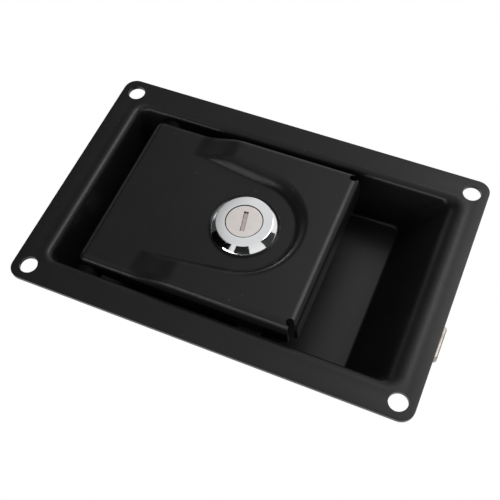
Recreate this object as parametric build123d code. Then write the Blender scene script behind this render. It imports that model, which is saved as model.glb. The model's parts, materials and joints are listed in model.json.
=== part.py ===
from build123d import *

import math
import os

# Paddle latch: a recessed pan, a lifting paddle with a key lock, and a spring bolt behind the pan.
#
# Frame: millimetres, +Z out of the panel towards the user, +X towards the bolt and the pull edge.
# The origin is the centre of the four screw holes, on the back face of the flange, which sits on
# the panel. Lifting the paddle's pull edge turns the paddle about its pivot pin. A roller on the
# drive bracket then pushes the top of the rocker towards +X, and the rocker's foot pulls the
# bolt slide towards -X.


# ---------------------------------------------------------------- pan: driving dimensions
PAN_SHEET = 1.5
FLANGE_LENGTH = 140.0
FLANGE_WIDTH = 91.0
FLANGE_CORNER_RADIUS = 4.5
SCREW_EDGE_X = 5.65
SCREW_EDGE_Y = 5.55
SCREW_HOLE_DIAMETER = 6.2
RECESS_LEFT = -59.5
RECESS_RIGHT = 60.0
RECESS_HALF_WIDTH = 34.6
RECESS_DEPTH = 26.0
FINGER_SLOPE_RUN = 16.4
RECESS_CORNER_RADIUS = 3.0
RECESS_FLOOR_RADIUS = 1.5
RIM_BEND_RADIUS = 2.6

# ---------------------------------------------------------------- paddle: driving dimensions
PADDLE_SHEET = 1.5
PADDLE_LEFT = -51.0
PADDLE_RIGHT = 28.0
PADDLE_HALF_WIDTH = 31.6
PADDLE_RAISE = 3.4
JOGGLE_START = -29.5
JOGGLE_RUN = 11.0
JOGGLE_BEND_RADIUS = 12.0
PADDLE_EDGE_RADIUS = 2.0
PADDLE_HEEL_RADIUS = 1.6
PADDLE_SKIRT_DEPTH = 7.0
PADDLE_HEEL_DEPTH = 3.1
CORNER_RELIEF = 2.4
CORNER_RELIEF_RADIUS = 1.3
EAR_RADIUS = 4.0
TONGUE_RADIUS = 17.4
TONGUE_WALL_ANGLE = 33.0
TONGUE_SPREAD_ANGLE = 7.5
TONGUE_EDGE_RADIUS = 1.0

# ---------------------------------------------------------------- pivot of the paddle
PIVOT_X = -47.0
PIVOT_BELOW_FACE = 7.0
PIVOT_PIN_DIAMETER = 5.0
PIVOT_HEAD_DIAMETER = 8.5
PIVOT_HEAD_HEIGHT = 1.6
PIVOT_PIN_TAIL = 3.2
CLIP_THICKNESS = 0.8
CLIP_WIDTH = 1.4
CLIP_GROOVE_DEPTH = 0.6
RUNNING_GAP = 0.06
SIDE_GAP = 0.3
SPACER_WALL = 2.0

# ---------------------------------------------------------------- drive: leg, rocker, slide
PADDLE_TRAVEL = 35.0
DRIVE_ABOVE_FLOOR = 3.5
DRIVE_LEG_SHEET = 2.0
DRIVE_LEG_BOSS = 4.4
DRIVE_LEG_TIP = 2.8
DRIVE_ROLLER_DIAMETER = 3.6
DRIVE_FOOT_LENGTH = 16.0
DRIVE_CLEARANCE = 0.3
ROCKER_BELOW_FLOOR = 3.0
ROCKER_WIDTH = 9.0
ROCKER_ARM = 3.4
ROCKER_HUB_RADIUS = 3.6
ROCKER_PIN_DIAMETER = 4.0
ROCKER_FOOT_DROP = 8.6
ROCKER_PLATE_HALF_LENGTH = 12.0
ROCKER_RIVET_INSET = 3.6
ROCKER_RIVET_EDGE = 2.9
ROCKER_HEAD_MARGIN = 0.8
ROCKER_PLATE_MARGIN = 9.0
ROCKER_SPACER_RADIUS = 2.8
ROCKER_EAR_HALF_SPAN = 10.2
ROCKER_EAR_SHEET = 2.0
ROCKER_EAR_RADIUS = 4.6
SLIDE_TOP_BELOW_FLOOR = 6.2
SLIDE_SHEET = 2.0
SLIDE_WIDTH = 17.4
SLIDE_HEIGHT = 10.0
SLIDE_LEFT = -52.0
SLIDE_RIGHT = 50.0
SLIDE_BEND_RADIUS = 2.6
DRIVE_PIN_DIAMETER = 4.0
WORKING_GAP = 0.4
BOLT_TIP_X = 71.0
BOLT_LENGTH = 44.0
BOLT_THICKNESS = 8.0
BOLT_NOSE = 3.0
BOLT_BEVEL_RUN = 9.0
BOLT_RIVET_DIAMETER = 3.0
BOLT_RIVET_PITCH = 6.8
BOLT_RIVET_INSET = 4.0

# ---------------------------------------------------------------- guides, springs, fasteners
GUIDE_SHEET = 2.0
GUIDE_MARGIN = 4.0
GUIDE_FOOT = 9.0
FRONT_GUIDE_X = 38.0
REAR_GUIDE_X = -18.0
ANCHOR_X = 4.0
ANCHOR_WIDTH = 8.0
SPRING_WIRE = 1.1
SPRING_STEPS = 12
BOLT_SPRING_DIAMETER = 7.6
BOLT_SPRING_TURNS = 7
RETURN_SPRING_WIRE = 1.2
RETURN_SPRING_PITCH = 1.35
RETURN_SPRING_TURNS = 4.25
RETURN_SPRING_REACH = 15.0
RETURN_SPRING_ROOM = 0.8
RIVET_DIAMETER = 3.2
RIVET_HEAD_RATIO = 1.75
RIVET_UPSET_RATIO = 1.4
RIVET_HEIGHT_RATIO = 0.7
STOP_TAB_X = 12.0
STOP_TAB_LENGTH = 8.0
STOP_TAB_REACH = 4.6
STOP_TAB_SHEET = 1.5

# ---------------------------------------------------------------- lock
LOCK_X = -2.6
BEZEL_DIAMETER = 24.0
BEZEL_BAND = 0.5
BEZEL_HEIGHT = 3.2
BEZEL_FACE_DIAMETER = 19.4
LOCK_BODY_DIAMETER = 18.6
LOCK_BODY_LENGTH = 15.0
LOCK_FLAT = 16.4
PLUG_DIAMETER = 12.7
PLUG_RECESS = 0.15
PLUG_GAP = 0.1
KEY_SLOT_LENGTH = 7.8
KEY_SLOT_WIDTH = 1.6
KEY_SLOT_ANGLE = 11.3
KEYWAY_LIP = 0.6
KEYWAY_DEPTH = 14.5
KEYWAY_WIDTH = 2.2
SHUTTER_LENGTH = 8.4
SHUTTER_OVERLAP = 0.45
SHUTTER_THICKNESS = 0.5
SHUTTER_KNUCKLE = 0.35
SHUTTER_TRAVEL = 80.0
SHUTTER_GAP = 0.12
WAFER_COUNT = 4
WAFER_FIRST_DEPTH = 6.0
WAFER_THICKNESS = 0.8
WAFER_PITCH = 2.0
WAFER_WIDTH = 4.6
WAFER_LENGTH = 11.0
WAFER_WINDOW_LENGTH = 6.6
WAFER_WINDOW_WIDTH = 2.6
WAFER_GAP = 0.05
NECK_DIAMETER = 10.0
NECK_LENGTH = 2.5
EDGE_BREAK = 0.2
NUT_ACROSS_FLATS = 24.0
NUT_HEIGHT = 4.0
WASHER_SHEET = 0.8
WASHER_RING = 3.2
WASHER_TEETH = 12
WASHER_NOTCH_DEPTH = 1.2
WASHER_NOTCH_WIDTH = 1.8
CAM_SHEET = 2.0
CAM_REACH = 19.0
CAM_WIDTH = 12.0
CAM_SQUARE = 7.0
CAM_WASHER_DIAMETER = 9.0
CAM_SCREW_DIAMETER = 4.0
CAM_SCREW_HEAD = 7.0
CAM_SCREW_HEAD_HEIGHT = 2.2
CAM_SCREW_CHAMFER = 0.8
CAM_SCREW_CROSS = 3.6
CAM_SCREW_SLOT = 0.8
CAM_SCREW_CROSS_DEPTH = 1.2
CAM_SCREW_LENGTH = 7.0
KEEPER_SHEET = 2.0
KEEPER_LENGTH = 14.0
KEEPER_OVERLAP = 4.5
KEEPER_FOOT = 8.0

# ---------------------------------------------------------------- heights and places that follow
FACE_Z = PAN_SHEET
SCREW_SPACING_X = FLANGE_LENGTH - 2 * SCREW_EDGE_X
SCREW_SPACING_Y = FLANGE_WIDTH - 2 * SCREW_EDGE_Y
FLOOR_TOP = FACE_Z - RECESS_DEPTH
FLOOR_BACK = FLOOR_TOP - PAN_SHEET
PADDLE_LOW = FACE_Z
PADDLE_HIGH = PADDLE_LOW + PADDLE_RAISE
PADDLE_BACK = PADDLE_LOW - PADDLE_SHEET
SKIRT_BOTTOM = PADDLE_LOW - PADDLE_SKIRT_DEPTH
PIVOT_Z = FACE_Z - PIVOT_BELOW_FACE
HALF_TRAVEL = math.radians(PADDLE_TRAVEL / 2)
DRIVE_RADIUS = RECESS_DEPTH - PIVOT_BELOW_FACE - DRIVE_ABOVE_FLOOR

DRIVE_ROLLER_X = PIVOT_X - DRIVE_RADIUS * math.sin(HALF_TRAVEL)
DRIVE_ROLLER_Z = PIVOT_Z - DRIVE_RADIUS * math.cos(HALF_TRAVEL)

# The rocker leans by the angle at which its face meets the roller at both ends of the travel.
ROCKER_Z = FLOOR_BACK - ROCKER_BELOW_FLOOR
ROCKER_LEAN = math.atan2(DRIVE_RADIUS * math.sin(HALF_TRAVEL), DRIVE_ROLLER_Z - ROCKER_Z)
ROLLER_REACH = (ROCKER_ARM + DRIVE_ROLLER_DIAMETER) / 2 + DRIVE_CLEARANCE
ROCKER_X = PIVOT_X + ROLLER_REACH / math.cos(ROCKER_LEAN)
ROCKER_UPPER = (DRIVE_ROLLER_Z - ROCKER_Z) / math.cos(ROCKER_LEAN) + ROCKER_ARM / 2
ROCKER_LOWER = ROCKER_FOOT_DROP / math.cos(ROCKER_LEAN) + ROCKER_ARM / 2
ROCKER_TRAVEL = 2 * math.degrees(ROCKER_LEAN)
BOLT_TRAVEL = 2 * ROCKER_FOOT_DROP * math.tan(ROCKER_LEAN)

SLIDE_TOP = FLOOR_BACK - SLIDE_TOP_BELOW_FLOOR
SLIDE_UNDER = SLIDE_TOP - SLIDE_SHEET
SLIDE_BOTTOM = SLIDE_TOP - SLIDE_HEIGHT
DRIVE_PIN_Z = ROCKER_Z - ROCKER_FOOT_DROP
PIN_REACH = (ROCKER_ARM + DRIVE_PIN_DIAMETER) / 2 + DRIVE_CLEARANCE
DRIVE_PIN_X = ROCKER_X - PIN_REACH / math.cos(ROCKER_LEAN) + BOLT_TRAVEL / 2
BOLT_LEFT = BOLT_TIP_X - BOLT_LENGTH
BOLT_WIDTH = SLIDE_WIDTH - 2 * SLIDE_SHEET
BOLT_TOP = SLIDE_UNDER
BOLT_BOTTOM = BOLT_TOP - BOLT_THICKNESS

WALL_OUTSIDE = RECESS_HALF_WIDTH + PAN_SHEET
PADDLE_INSIDE = PADDLE_HALF_WIDTH - PADDLE_SHEET
DRIVE_LEG_INSIDE = ROCKER_WIDTH / 2 + 2 * SIDE_GAP
DRIVE_LEG_OUTSIDE = DRIVE_LEG_INSIDE + DRIVE_LEG_SHEET

LOCK_FACE = PADDLE_LOW + BEZEL_HEIGHT
LOCK_BOTTOM = PADDLE_BACK - LOCK_BODY_LENGTH
WASHER_DIAMETER = LOCK_BODY_DIAMETER + 2 * WASHER_RING
CAM_TOP = LOCK_BOTTOM - 2 * SIDE_GAP
CAM_BOTTOM = CAM_TOP - CAM_SHEET


def box_between(low, high):
    """A box from its lowest to its highest corner."""
    size = [top - bottom for bottom, top in zip(low, high)]
    middle = [(top + bottom) / 2 for bottom, top in zip(low, high)]
    return Pos(*middle) * Box(*size)


def rod_along_y(radius, y_low, y_high, x, z):
    """A round bar along Y through (x, z)."""
    turned = Rot(90, 0, 0) * Cylinder(radius, y_high - y_low)
    return Pos(x, (y_low + y_high) / 2, z) * turned


def rod_along_z(radius, z_low, z_high, x=0.0, y=0.0):
    """A round bar along Z through (x, y)."""
    return Pos(x, y, (z_low + z_high) / 2) * Cylinder(radius, z_high - z_low)


def plate_across_y(outline, y_low, y_high):
    """A closed XZ outline, given as a wire, drawn out along Y into a plate."""
    face = make_face(outline)
    return Pos(0, y_high, 0) * extrude(face, amount=y_high - y_low, dir=(0, -1, 0))


def edges_near(shape, test):
    """The edges of a shape whose middle point passes a test of (x, y, z)."""
    return [edge for edge in shape.edges() if test(edge @ 0.5)]


def retaining_clip(radius, y_low, x, z):
    """An open snap ring for a groove in a pin along Y."""
    outer = rod_along_y(radius + CLIP_WIDTH, y_low, y_low + CLIP_THICKNESS, x, z)
    bore = rod_along_y(radius, y_low - 1, y_low + CLIP_THICKNESS + 1, x, z)
    mouth = box_between((x - radius * 0.8, y_low - 1, z - 3 * radius), (x + radius * 0.8, y_low + 2, z))
    return outer - bore - mouth


def rivet(x, y, head_z, grip, up=1, diameter=RIVET_DIAMETER):
    """A rivet along Z: a bevelled head on one side of its grip and a smaller upset on the other."""
    radius = diameter / 2
    head = radius * RIVET_HEAD_RATIO
    upset = radius * RIVET_UPSET_RATIO
    height = radius * RIVET_HEIGHT_RATIO
    outline = Polyline(
        (0, height), (head * 0.65, height), (head, 0), (radius, 0),
        (radius, -grip), (upset, -grip), (upset, -grip - height * 0.6), (0, -grip - height * 0.6), close=True,
    )
    body = revolve(Plane.XZ * make_face(outline), Axis.Z)
    if up < 0:
        body = Rot(180, 0, 0) * body
    return Pos(x, y, head_z) * body


def hull_plate(circles, points, y_low, y_high):
    """A plate across Y whose XZ outline is the tight hull of some circles (x, z, radius) and points."""
    edges = [Pos(x, z) * Edge.make_circle(radius) for x, z, radius in circles]
    edges += [Edge.make_line(a, b) for a, b in zip(points, points[1:])]
    face = make_hull(edges)
    upright = Rot(90, 0, 0) * face
    return Pos(0, y_high, 0) * extrude(upright, amount=y_high - y_low, dir=(0, -1, 0))


# ---------------------------------------------------------------- the pan
def recess_block(grow):
    """The recess as a solid, its walls and floor moved outwards by grow."""
    left = RECESS_LEFT - grow
    bottom = FLOOR_TOP - grow
    slope = math.atan2(FINGER_SLOPE_RUN, RECESS_DEPTH)
    shift = grow / math.cos(slope)
    top = FACE_Z + 1
    top_right = RECESS_RIGHT + shift + (top - FACE_Z) * math.tan(slope)
    bottom_right = RECESS_RIGHT + shift - (FACE_Z - bottom) * math.tan(slope)
    corners = [(left, 0, top), (left, 0, bottom), (bottom_right, 0, bottom), (top_right, 0, top)]
    outline = Polyline(*corners, close=True)
    half = RECESS_HALF_WIDTH + grow
    block = plate_across_y(outline, -half, half)
    uprights = edges_near(block, lambda p: abs(abs(p.Y) - half) < 0.01 and bottom + 1 < p.Z < top - 1)
    block = fillet(uprights, RECESS_CORNER_RADIUS + grow)
    floor_edges = edges_near(block, lambda p: p.Z < bottom + 0.01)
    return fillet(floor_edges, RECESS_FLOOR_RADIUS + grow)


def inside_the_flange(point):
    """Whether a point lies clear of the flange's outer edges, in from its corner rounds."""
    in_x = abs(point.X) < FLANGE_LENGTH / 2 - FLANGE_CORNER_RADIUS
    return in_x and abs(point.Y) < FLANGE_WIDTH / 2 - FLANGE_CORNER_RADIUS


def make_mounting_pan():
    """The pressed tray: flange, four screw holes, rim bend, walls, sloped finger end and floor."""
    plate = Pos(0, 0, PAN_SHEET / 2) * extrude(
        RectangleRounded(FLANGE_LENGTH, FLANGE_WIDTH, FLANGE_CORNER_RADIUS), PAN_SHEET / 2, both=True
    )
    low_corner = (-FLANGE_LENGTH, -FLANGE_WIDTH, 2 * FLOOR_BACK)
    below_face = box_between(low_corner, (FLANGE_LENGTH, FLANGE_WIDTH, FACE_Z))
    outside = recess_block(PAN_SHEET) & below_face
    pan = plate + outside
    back_bend = RIM_BEND_RADIUS - PAN_SHEET
    under = edges_near(pan, lambda p: abs(p.Z) < 0.01 and inside_the_flange(p))
    pan = fillet(under, back_bend)
    pan = pan - recess_block(0)
    rim = edges_near(pan, lambda p: abs(p.Z - FACE_Z) < 0.01 and inside_the_flange(p))
    pan = fillet(rim, RIM_BEND_RADIUS)
    for x, y in corner_places():
        pan = pan - rod_along_z(SCREW_HOLE_DIAMETER / 2, -1, FACE_Z + 1, x, y)
    pan = pan - rod_along_y(
        PIVOT_PIN_DIAMETER / 2, -FLANGE_WIDTH / 2, FLANGE_WIDTH / 2, PIVOT_X, PIVOT_Z
    )
    slot_low, slot_high = rocker_slot()
    pan = pan - box_between((slot_low, -slot_half(), FLOOR_BACK - 5), (slot_high, slot_half(), FLOOR_TOP + 1))
    for x, y in floor_rivet_places() + keeper_rivet_places():
        pan = pan - rod_along_z(RIVET_DIAMETER / 2, FLOOR_BACK - 1, FLOOR_TOP + 1, x, y)
    return pan


def corner_places():
    """The four screw holes of the flange."""
    half_x = SCREW_SPACING_X / 2
    half_y = SCREW_SPACING_Y / 2
    return [(sx * half_x, sy * half_y) for sx in (-1, 1) for sy in (-1, 1)]


def slot_half():
    """Half the width of the floor slot that the rocker stands in."""
    return ROCKER_WIDTH / 2 + 2


def rocker_slot():
    """The floor slot's two ends along X: the rocker's sweep at floor height, with room."""
    sweep = (FLOOR_TOP - ROCKER_Z) * math.tan(ROCKER_LEAN) + ROCKER_ARM
    return ROCKER_X - sweep - 1, ROCKER_X + sweep + 1


def floor_rivet_places():
    """Rivets through the floor: four for the rocker bracket, two for the rear guide."""
    rivet_reach = ROCKER_PLATE_HALF_LENGTH - ROCKER_RIVET_INSET
    rivet_y = ROCKER_EAR_HALF_SPAN + ROCKER_EAR_SHEET + ROCKER_PLATE_MARGIN - ROCKER_RIVET_EDGE
    around_rocker = [(ROCKER_X + sx * rivet_reach, sy * rivet_y) for sx in (-1, 1) for sy in (-1, 1)]
    behind_guide = [(REAR_GUIDE_X - GUIDE_FOOT / 2, sy * SLIDE_WIDTH * 0.42) for sy in (-1, 1)]
    return around_rocker + behind_guide


def keeper_rivet_places():
    """Two rivets through the lock keeper's foot."""
    y = keeper_wall() + KEEPER_SHEET + KEEPER_FOOT / 2
    return [(LOCK_X + side * KEEPER_LENGTH / 4, y) for side in (-1, 1)]


def keeper_wall():
    """The Y of the keeper's wall face that looks at the cam's tip."""
    return CAM_REACH + 2 * SIDE_GAP


# ---------------------------------------------------------------- the paddle
def paddle_profile(inset):
    """The paddle's XZ outline with the joggle, moved inwards by inset, closed at ear depth."""
    left = PADDLE_LEFT + inset
    right = PADDLE_RIGHT - inset
    low = PADDLE_LOW - inset
    high = PADDLE_HIGH - inset
    slope = math.atan2(PADDLE_RAISE, JOGGLE_RUN)
    shift = inset * math.tan(slope / 2)
    bottom = PIVOT_Z - EAR_RADIUS - inset
    start = (JOGGLE_START + shift, 0, low)
    crest = (JOGGLE_START + JOGGLE_RUN + shift, 0, high)
    bends = [JOGGLE_BEND_RADIUS + inset, JOGGLE_BEND_RADIUS - inset]
    top = FilletPolyline((left, 0, low), start, crest, (right, 0, high), radius=bends)
    rest = Polyline((right, 0, high), (right, 0, bottom), (left, 0, bottom), (left, 0, low))
    return Wire([*top.edges(), *rest.edges()])


def tongue_cutter(grow):
    """The horseshoe pocket round the lock: a flaring cone whose sides run off to the left.

    Its walls and floor are moved outwards by grow.
    """
    lean = math.radians(TONGUE_WALL_ANGLE)
    floor = PADDLE_LOW - grow
    top = PADDLE_HIGH + PADDLE_RAISE
    foot = TONGUE_RADIUS + grow * math.tan((math.pi / 2 - lean) / 2)
    lip = foot + (top - floor) * math.tan(lean)
    overlap = TONGUE_RADIUS / 2
    section = Polyline((0, 0, floor), (foot, 0, floor), (lip, 0, top), (0, 0, top), close=True)
    cone = revolve(make_face(section), Axis.Z)
    strip = Polyline((0, -overlap, floor), (0, foot, floor), (0, lip, top), (0, -overlap, top), close=True)
    wing = extrude(make_face(strip), amount=2 * PADDLE_HALF_WIDTH, dir=(-1, 0, 0))
    wing = Rot(0, 0, -TONGUE_SPREAD_ANGLE) * wing
    return Pos(LOCK_X, 0, 0) * (cone + wing + mirror(wing, about=Plane.XZ))


def corner_relief(side_x, x_edge, side_y):
    """The round-cornered notch that parts two neighbouring bent edges of the paddle."""
    x_in = x_edge - side_x * CORNER_RELIEF
    y_in = side_y * (PADDLE_HALF_WIDTH - CORNER_RELIEF)
    x_out = x_edge + side_x * CORNER_RELIEF
    y_out = side_y * (PADDLE_HALF_WIDTH + CORNER_RELIEF)
    low = (min(x_in, x_out), min(y_in, y_out), PIVOT_Z - DRIVE_RADIUS)
    high = (max(x_in, x_out), max(y_in, y_out), PADDLE_HIGH + 1)
    return box_between(low, high) + rod_along_z(CORNER_RELIEF_RADIUS, low[2], high[2], x_in, y_in)


def paddle_block(inset, edge_radius, heel_radius):
    """The paddle's body as a solid with its long edges, pull edge and heel rounded."""
    half = PADDLE_HALF_WIDTH - inset
    block = plate_across_y(paddle_profile(inset), -half, half)
    top = PADDLE_LOW - inset - 0.01
    sides = edges_near(block, lambda p: abs(abs(p.Y) - half) < 0.01 and p.Z > top)
    pull = edges_near(block, lambda p: abs(p.Y) < 1 and p.X > PADDLE_RIGHT - inset - 0.01 and p.Z > top)
    block = fillet(sides + pull, edge_radius)
    heel = edges_near(block, lambda p: abs(p.Y) < 1 and p.X < PADDLE_LEFT + inset + 0.01 and p.Z > top)
    return fillet(heel, heel_radius)


def on_tongue_crest(point):
    """Whether an edge's middle lies on the horseshoe's upper rim, on the raised plane or the joggle."""
    raised = point.Z > PADDLE_HIGH - 0.01 and abs(point.Y) < TONGUE_RADIUS * 1.26
    joggled = PADDLE_LOW + 0.05 < point.Z and TONGUE_RADIUS * 1.15 < abs(point.Y) < TONGUE_RADIUS * 1.35
    return JOGGLE_START - 1 < point.X < PADDLE_RIGHT - 5 and (raised or joggled)


def make_paddle():
    """The pressed handle: joggled top, horseshoe seat, lip, heel, side skirts, ears and reliefs."""
    outside = paddle_block(0, PADDLE_EDGE_RADIUS, PADDLE_HEEL_RADIUS) - tongue_cutter(0)
    crest = edges_near(outside, on_tongue_crest)
    outside = fillet(crest, TONGUE_EDGE_RADIUS)
    inside = paddle_block(PADDLE_SHEET, PADDLE_EDGE_RADIUS - PADDLE_SHEET, PADDLE_HEEL_RADIUS - PADDLE_SHEET)
    inside = inside - tongue_cutter(PADDLE_SHEET)
    paddle = outside - inside
    ear_right = PIVOT_X + EAR_RADIUS
    far = PADDLE_HALF_WIDTH + 5
    deep = PIVOT_Z - 3 * EAR_RADIUS
    paddle = paddle - box_between((ear_right, -far, deep), (PADDLE_RIGHT + 5, far, SKIRT_BOTTOM))
    heel_bottom = PADDLE_LOW - PADDLE_HEEL_DEPTH
    inside_low = (PADDLE_LEFT - 5, -PADDLE_INSIDE, deep)
    paddle = paddle - box_between(inside_low, (PIVOT_X, PADDLE_INSIDE, heel_bottom))
    for side_y in (-1, 1):
        paddle = paddle - corner_relief(1, PADDLE_RIGHT, side_y)
    bore = PIVOT_PIN_DIAMETER / 2 + RUNNING_GAP
    paddle = paddle - rod_along_y(bore, -far, far, PIVOT_X, PIVOT_Z)
    return paddle - lock_barrel(RUNNING_GAP)


def lock_barrel(gap):
    """The lock's barrel with its two flats, grown by gap: the paddle's hole has the same form."""
    barrel = rod_along_z(LOCK_BODY_DIAMETER / 2 + gap, LOCK_BOTTOM, PADDLE_LOW, LOCK_X)
    flats = box_between(
        (LOCK_X - LOCK_BODY_DIAMETER, -LOCK_FLAT / 2 - gap, LOCK_BOTTOM - 1),
        (LOCK_X + LOCK_BODY_DIAMETER, LOCK_FLAT / 2 + gap, PADDLE_LOW + 1),
    )
    return barrel & flats


# ---------------------------------------------------------------- pivot and paddle stops
def make_pivot_pin():
    """The paddle's hinge pin: a flat head outside one wall, a grooved tail outside the other."""
    radius = PIVOT_PIN_DIAMETER / 2
    tail = WALL_OUTSIDE + PIVOT_PIN_TAIL
    pin = rod_along_y(radius, -WALL_OUTSIDE, tail, PIVOT_X, PIVOT_Z)
    head_end = -WALL_OUTSIDE - PIVOT_HEAD_HEIGHT
    head = rod_along_y(PIVOT_HEAD_DIAMETER / 2, head_end, -WALL_OUTSIDE, PIVOT_X, PIVOT_Z)
    head = chamfer(edges_near(head, lambda p: p.Y < head_end + 0.01), PIVOT_HEAD_HEIGHT / 3)
    return pin + head - clip_groove(radius, WALL_OUTSIDE + SIDE_GAP, PIVOT_X, PIVOT_Z)


def clip_groove(radius, y_low, x, z):
    """The ring groove that a retaining clip sits in."""
    outer = rod_along_y(radius + 1, y_low, y_low + CLIP_THICKNESS, x, z)
    return outer - rod_along_y(radius - CLIP_GROOVE_DEPTH, y_low - 1, y_low + CLIP_THICKNESS + 1, x, z)


def make_pivot_pin_clip():
    """The snap ring on the hinge pin's tail."""
    groove_radius = PIVOT_PIN_DIAMETER / 2 - CLIP_GROOVE_DEPTH
    return retaining_clip(groove_radius, WALL_OUTSIDE + SIDE_GAP, PIVOT_X, PIVOT_Z)


def make_pivot_spacers():
    """Two plastic washers on the pin, one between each ear and the pan's wall."""
    radius = PIVOT_PIN_DIAMETER / 2 + RUNNING_GAP
    low = PADDLE_HALF_WIDTH + SIDE_GAP
    high = RECESS_HALF_WIDTH - SIDE_GAP / 2
    spacer = rod_along_y(radius + SPACER_WALL, low, high, PIVOT_X, PIVOT_Z)
    spacer = spacer - rod_along_y(radius, low - 1, high + 1, PIVOT_X, PIVOT_Z)
    return Compound([spacer, mirror(spacer, about=Plane.XZ)])


def make_paddle_stops():
    """Two bent tabs on the pan's side walls that the paddle's skirts come down on."""
    top = SKIRT_BOTTOM - SIDE_GAP
    inner = RECESS_HALF_WIDTH - STOP_TAB_REACH
    low_x = STOP_TAB_X - STOP_TAB_LENGTH / 2
    high_x = STOP_TAB_X + STOP_TAB_LENGTH / 2
    shelf = box_between((low_x, inner, top - STOP_TAB_SHEET), (high_x, RECESS_HALF_WIDTH, top))
    leg_low = (low_x, RECESS_HALF_WIDTH - STOP_TAB_SHEET, top - STOP_TAB_LENGTH)
    leg = box_between(leg_low, (high_x, RECESS_HALF_WIDTH, top))
    tab = shelf + leg
    return Compound([tab, mirror(tab, about=Plane.XZ)])


def coil_points(radius, pitch, turns, steps=SPRING_STEPS):
    """Points along a coil about Y: the first on top, each next one a step further round to -X."""
    count = round(turns * steps)
    points = []
    for number in range(count + 1):
        angle = math.pi / 2 + 2 * math.pi * number / steps
        points.append((radius * math.cos(angle), pitch * number / steps, radius * math.sin(angle)))
    return points


def bent_wire(points, diameter):
    """A wire of six flats along straight steps between points, mitred at each."""
    path = Polyline(*points)
    section = Plane(path @ 0, z_dir=path % 0) * RegularPolygon(diameter / 2, 6)
    return sweep(section, path=path, transition=Transition.RIGHT)


def make_return_springs():
    """Two torsion springs round the hinge pin: one leg under the paddle, the other on the floor."""
    radius = PIVOT_PIN_DIAMETER / 2 + RETURN_SPRING_ROOM + RETURN_SPRING_WIRE / 2
    start_y = DRIVE_LEG_OUTSIDE + SIDE_GAP + RETURN_SPRING_WIRE / 2
    coil = [
        (PIVOT_X + x, start_y + y, PIVOT_Z + z)
        for x, y, z in coil_points(radius, RETURN_SPRING_PITCH, RETURN_SPRING_TURNS)
    ]
    under_paddle = PADDLE_BACK - SIDE_GAP - RETURN_SPRING_WIRE / 2
    paddle_end = (PIVOT_X + RETURN_SPRING_REACH, start_y, under_paddle)
    floor_end = (coil[-1][0], coil[-1][1], FLOOR_TOP + SIDE_GAP)
    spring = bent_wire([paddle_end, *coil, floor_end], RETURN_SPRING_WIRE)
    return Compound([spring, mirror(spring, about=Plane.XZ)])


# ---------------------------------------------------------------- drive bracket and rocker
def make_drive_bracket():
    """The welded bracket under the paddle: a foot plate and two legs that hold the drive roller."""
    foot_left = PADDLE_LEFT + PADDLE_SHEET + SIDE_GAP
    foot_right = foot_left + DRIVE_FOOT_LENGTH
    foot_bottom = PADDLE_BACK - DRIVE_LEG_SHEET
    low_corner = (foot_left, -DRIVE_LEG_OUTSIDE, foot_bottom)
    bracket = box_between(low_corner, (foot_right, DRIVE_LEG_OUTSIDE, PADDLE_BACK))
    circles = [(PIVOT_X, PIVOT_Z, DRIVE_LEG_BOSS), (DRIVE_ROLLER_X, DRIVE_ROLLER_Z, DRIVE_LEG_TIP)]
    points = [(foot_left + 1, PADDLE_BACK), (foot_right - 3, PADDLE_BACK), (foot_right - 5, foot_bottom - 1)]
    for side in (-1, 1):
        low = min(side * DRIVE_LEG_INSIDE, side * DRIVE_LEG_OUTSIDE)
        bracket = bracket + hull_plate(circles, points, low, low + DRIVE_LEG_SHEET)
    bore = PIVOT_PIN_DIAMETER / 2 + RUNNING_GAP
    bracket = bracket - rod_along_y(bore, -SLIDE_WIDTH, SLIDE_WIDTH, PIVOT_X, PIVOT_Z)
    roller = rod_along_y(DRIVE_ROLLER_DIAMETER / 2, -SLIDE_WIDTH, SLIDE_WIDTH, DRIVE_ROLLER_X, DRIVE_ROLLER_Z)
    return bracket - roller


def make_drive_roller():
    """The hardened pin across the drive legs' tips, peened over outside them."""
    end = DRIVE_LEG_OUTSIDE + 0.8
    pin = rod_along_y(DRIVE_ROLLER_DIAMETER / 2, -end, end, DRIVE_ROLLER_X, DRIVE_ROLLER_Z)
    return chamfer(pin.edges().filter_by(GeomType.CIRCLE), 0.4)


def make_rocker():
    """The two-armed lever that reverses the motion: flat-faced arms through a round hub."""
    radius = ROCKER_ARM / 2
    half = ROCKER_WIDTH / 2
    length = ROCKER_UPPER + ROCKER_LOWER - 2 * radius
    bar = box_between((-radius, -half, -ROCKER_LOWER + radius), (radius, half, ROCKER_UPPER - radius))
    for z in (ROCKER_UPPER - radius, ROCKER_UPPER - radius - length):
        bar = bar + rod_along_y(radius, -half, half, 0, z)
    lever = bar + rod_along_y(ROCKER_HUB_RADIUS, -half, half, 0, 0)
    lever = lever - rod_along_y(ROCKER_PIN_DIAMETER / 2 + RUNNING_GAP, -half - 1, half + 1, 0, 0)
    return Pos(ROCKER_X, 0, ROCKER_Z) * Rot(0, -math.degrees(ROCKER_LEAN), 0) * lever


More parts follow.
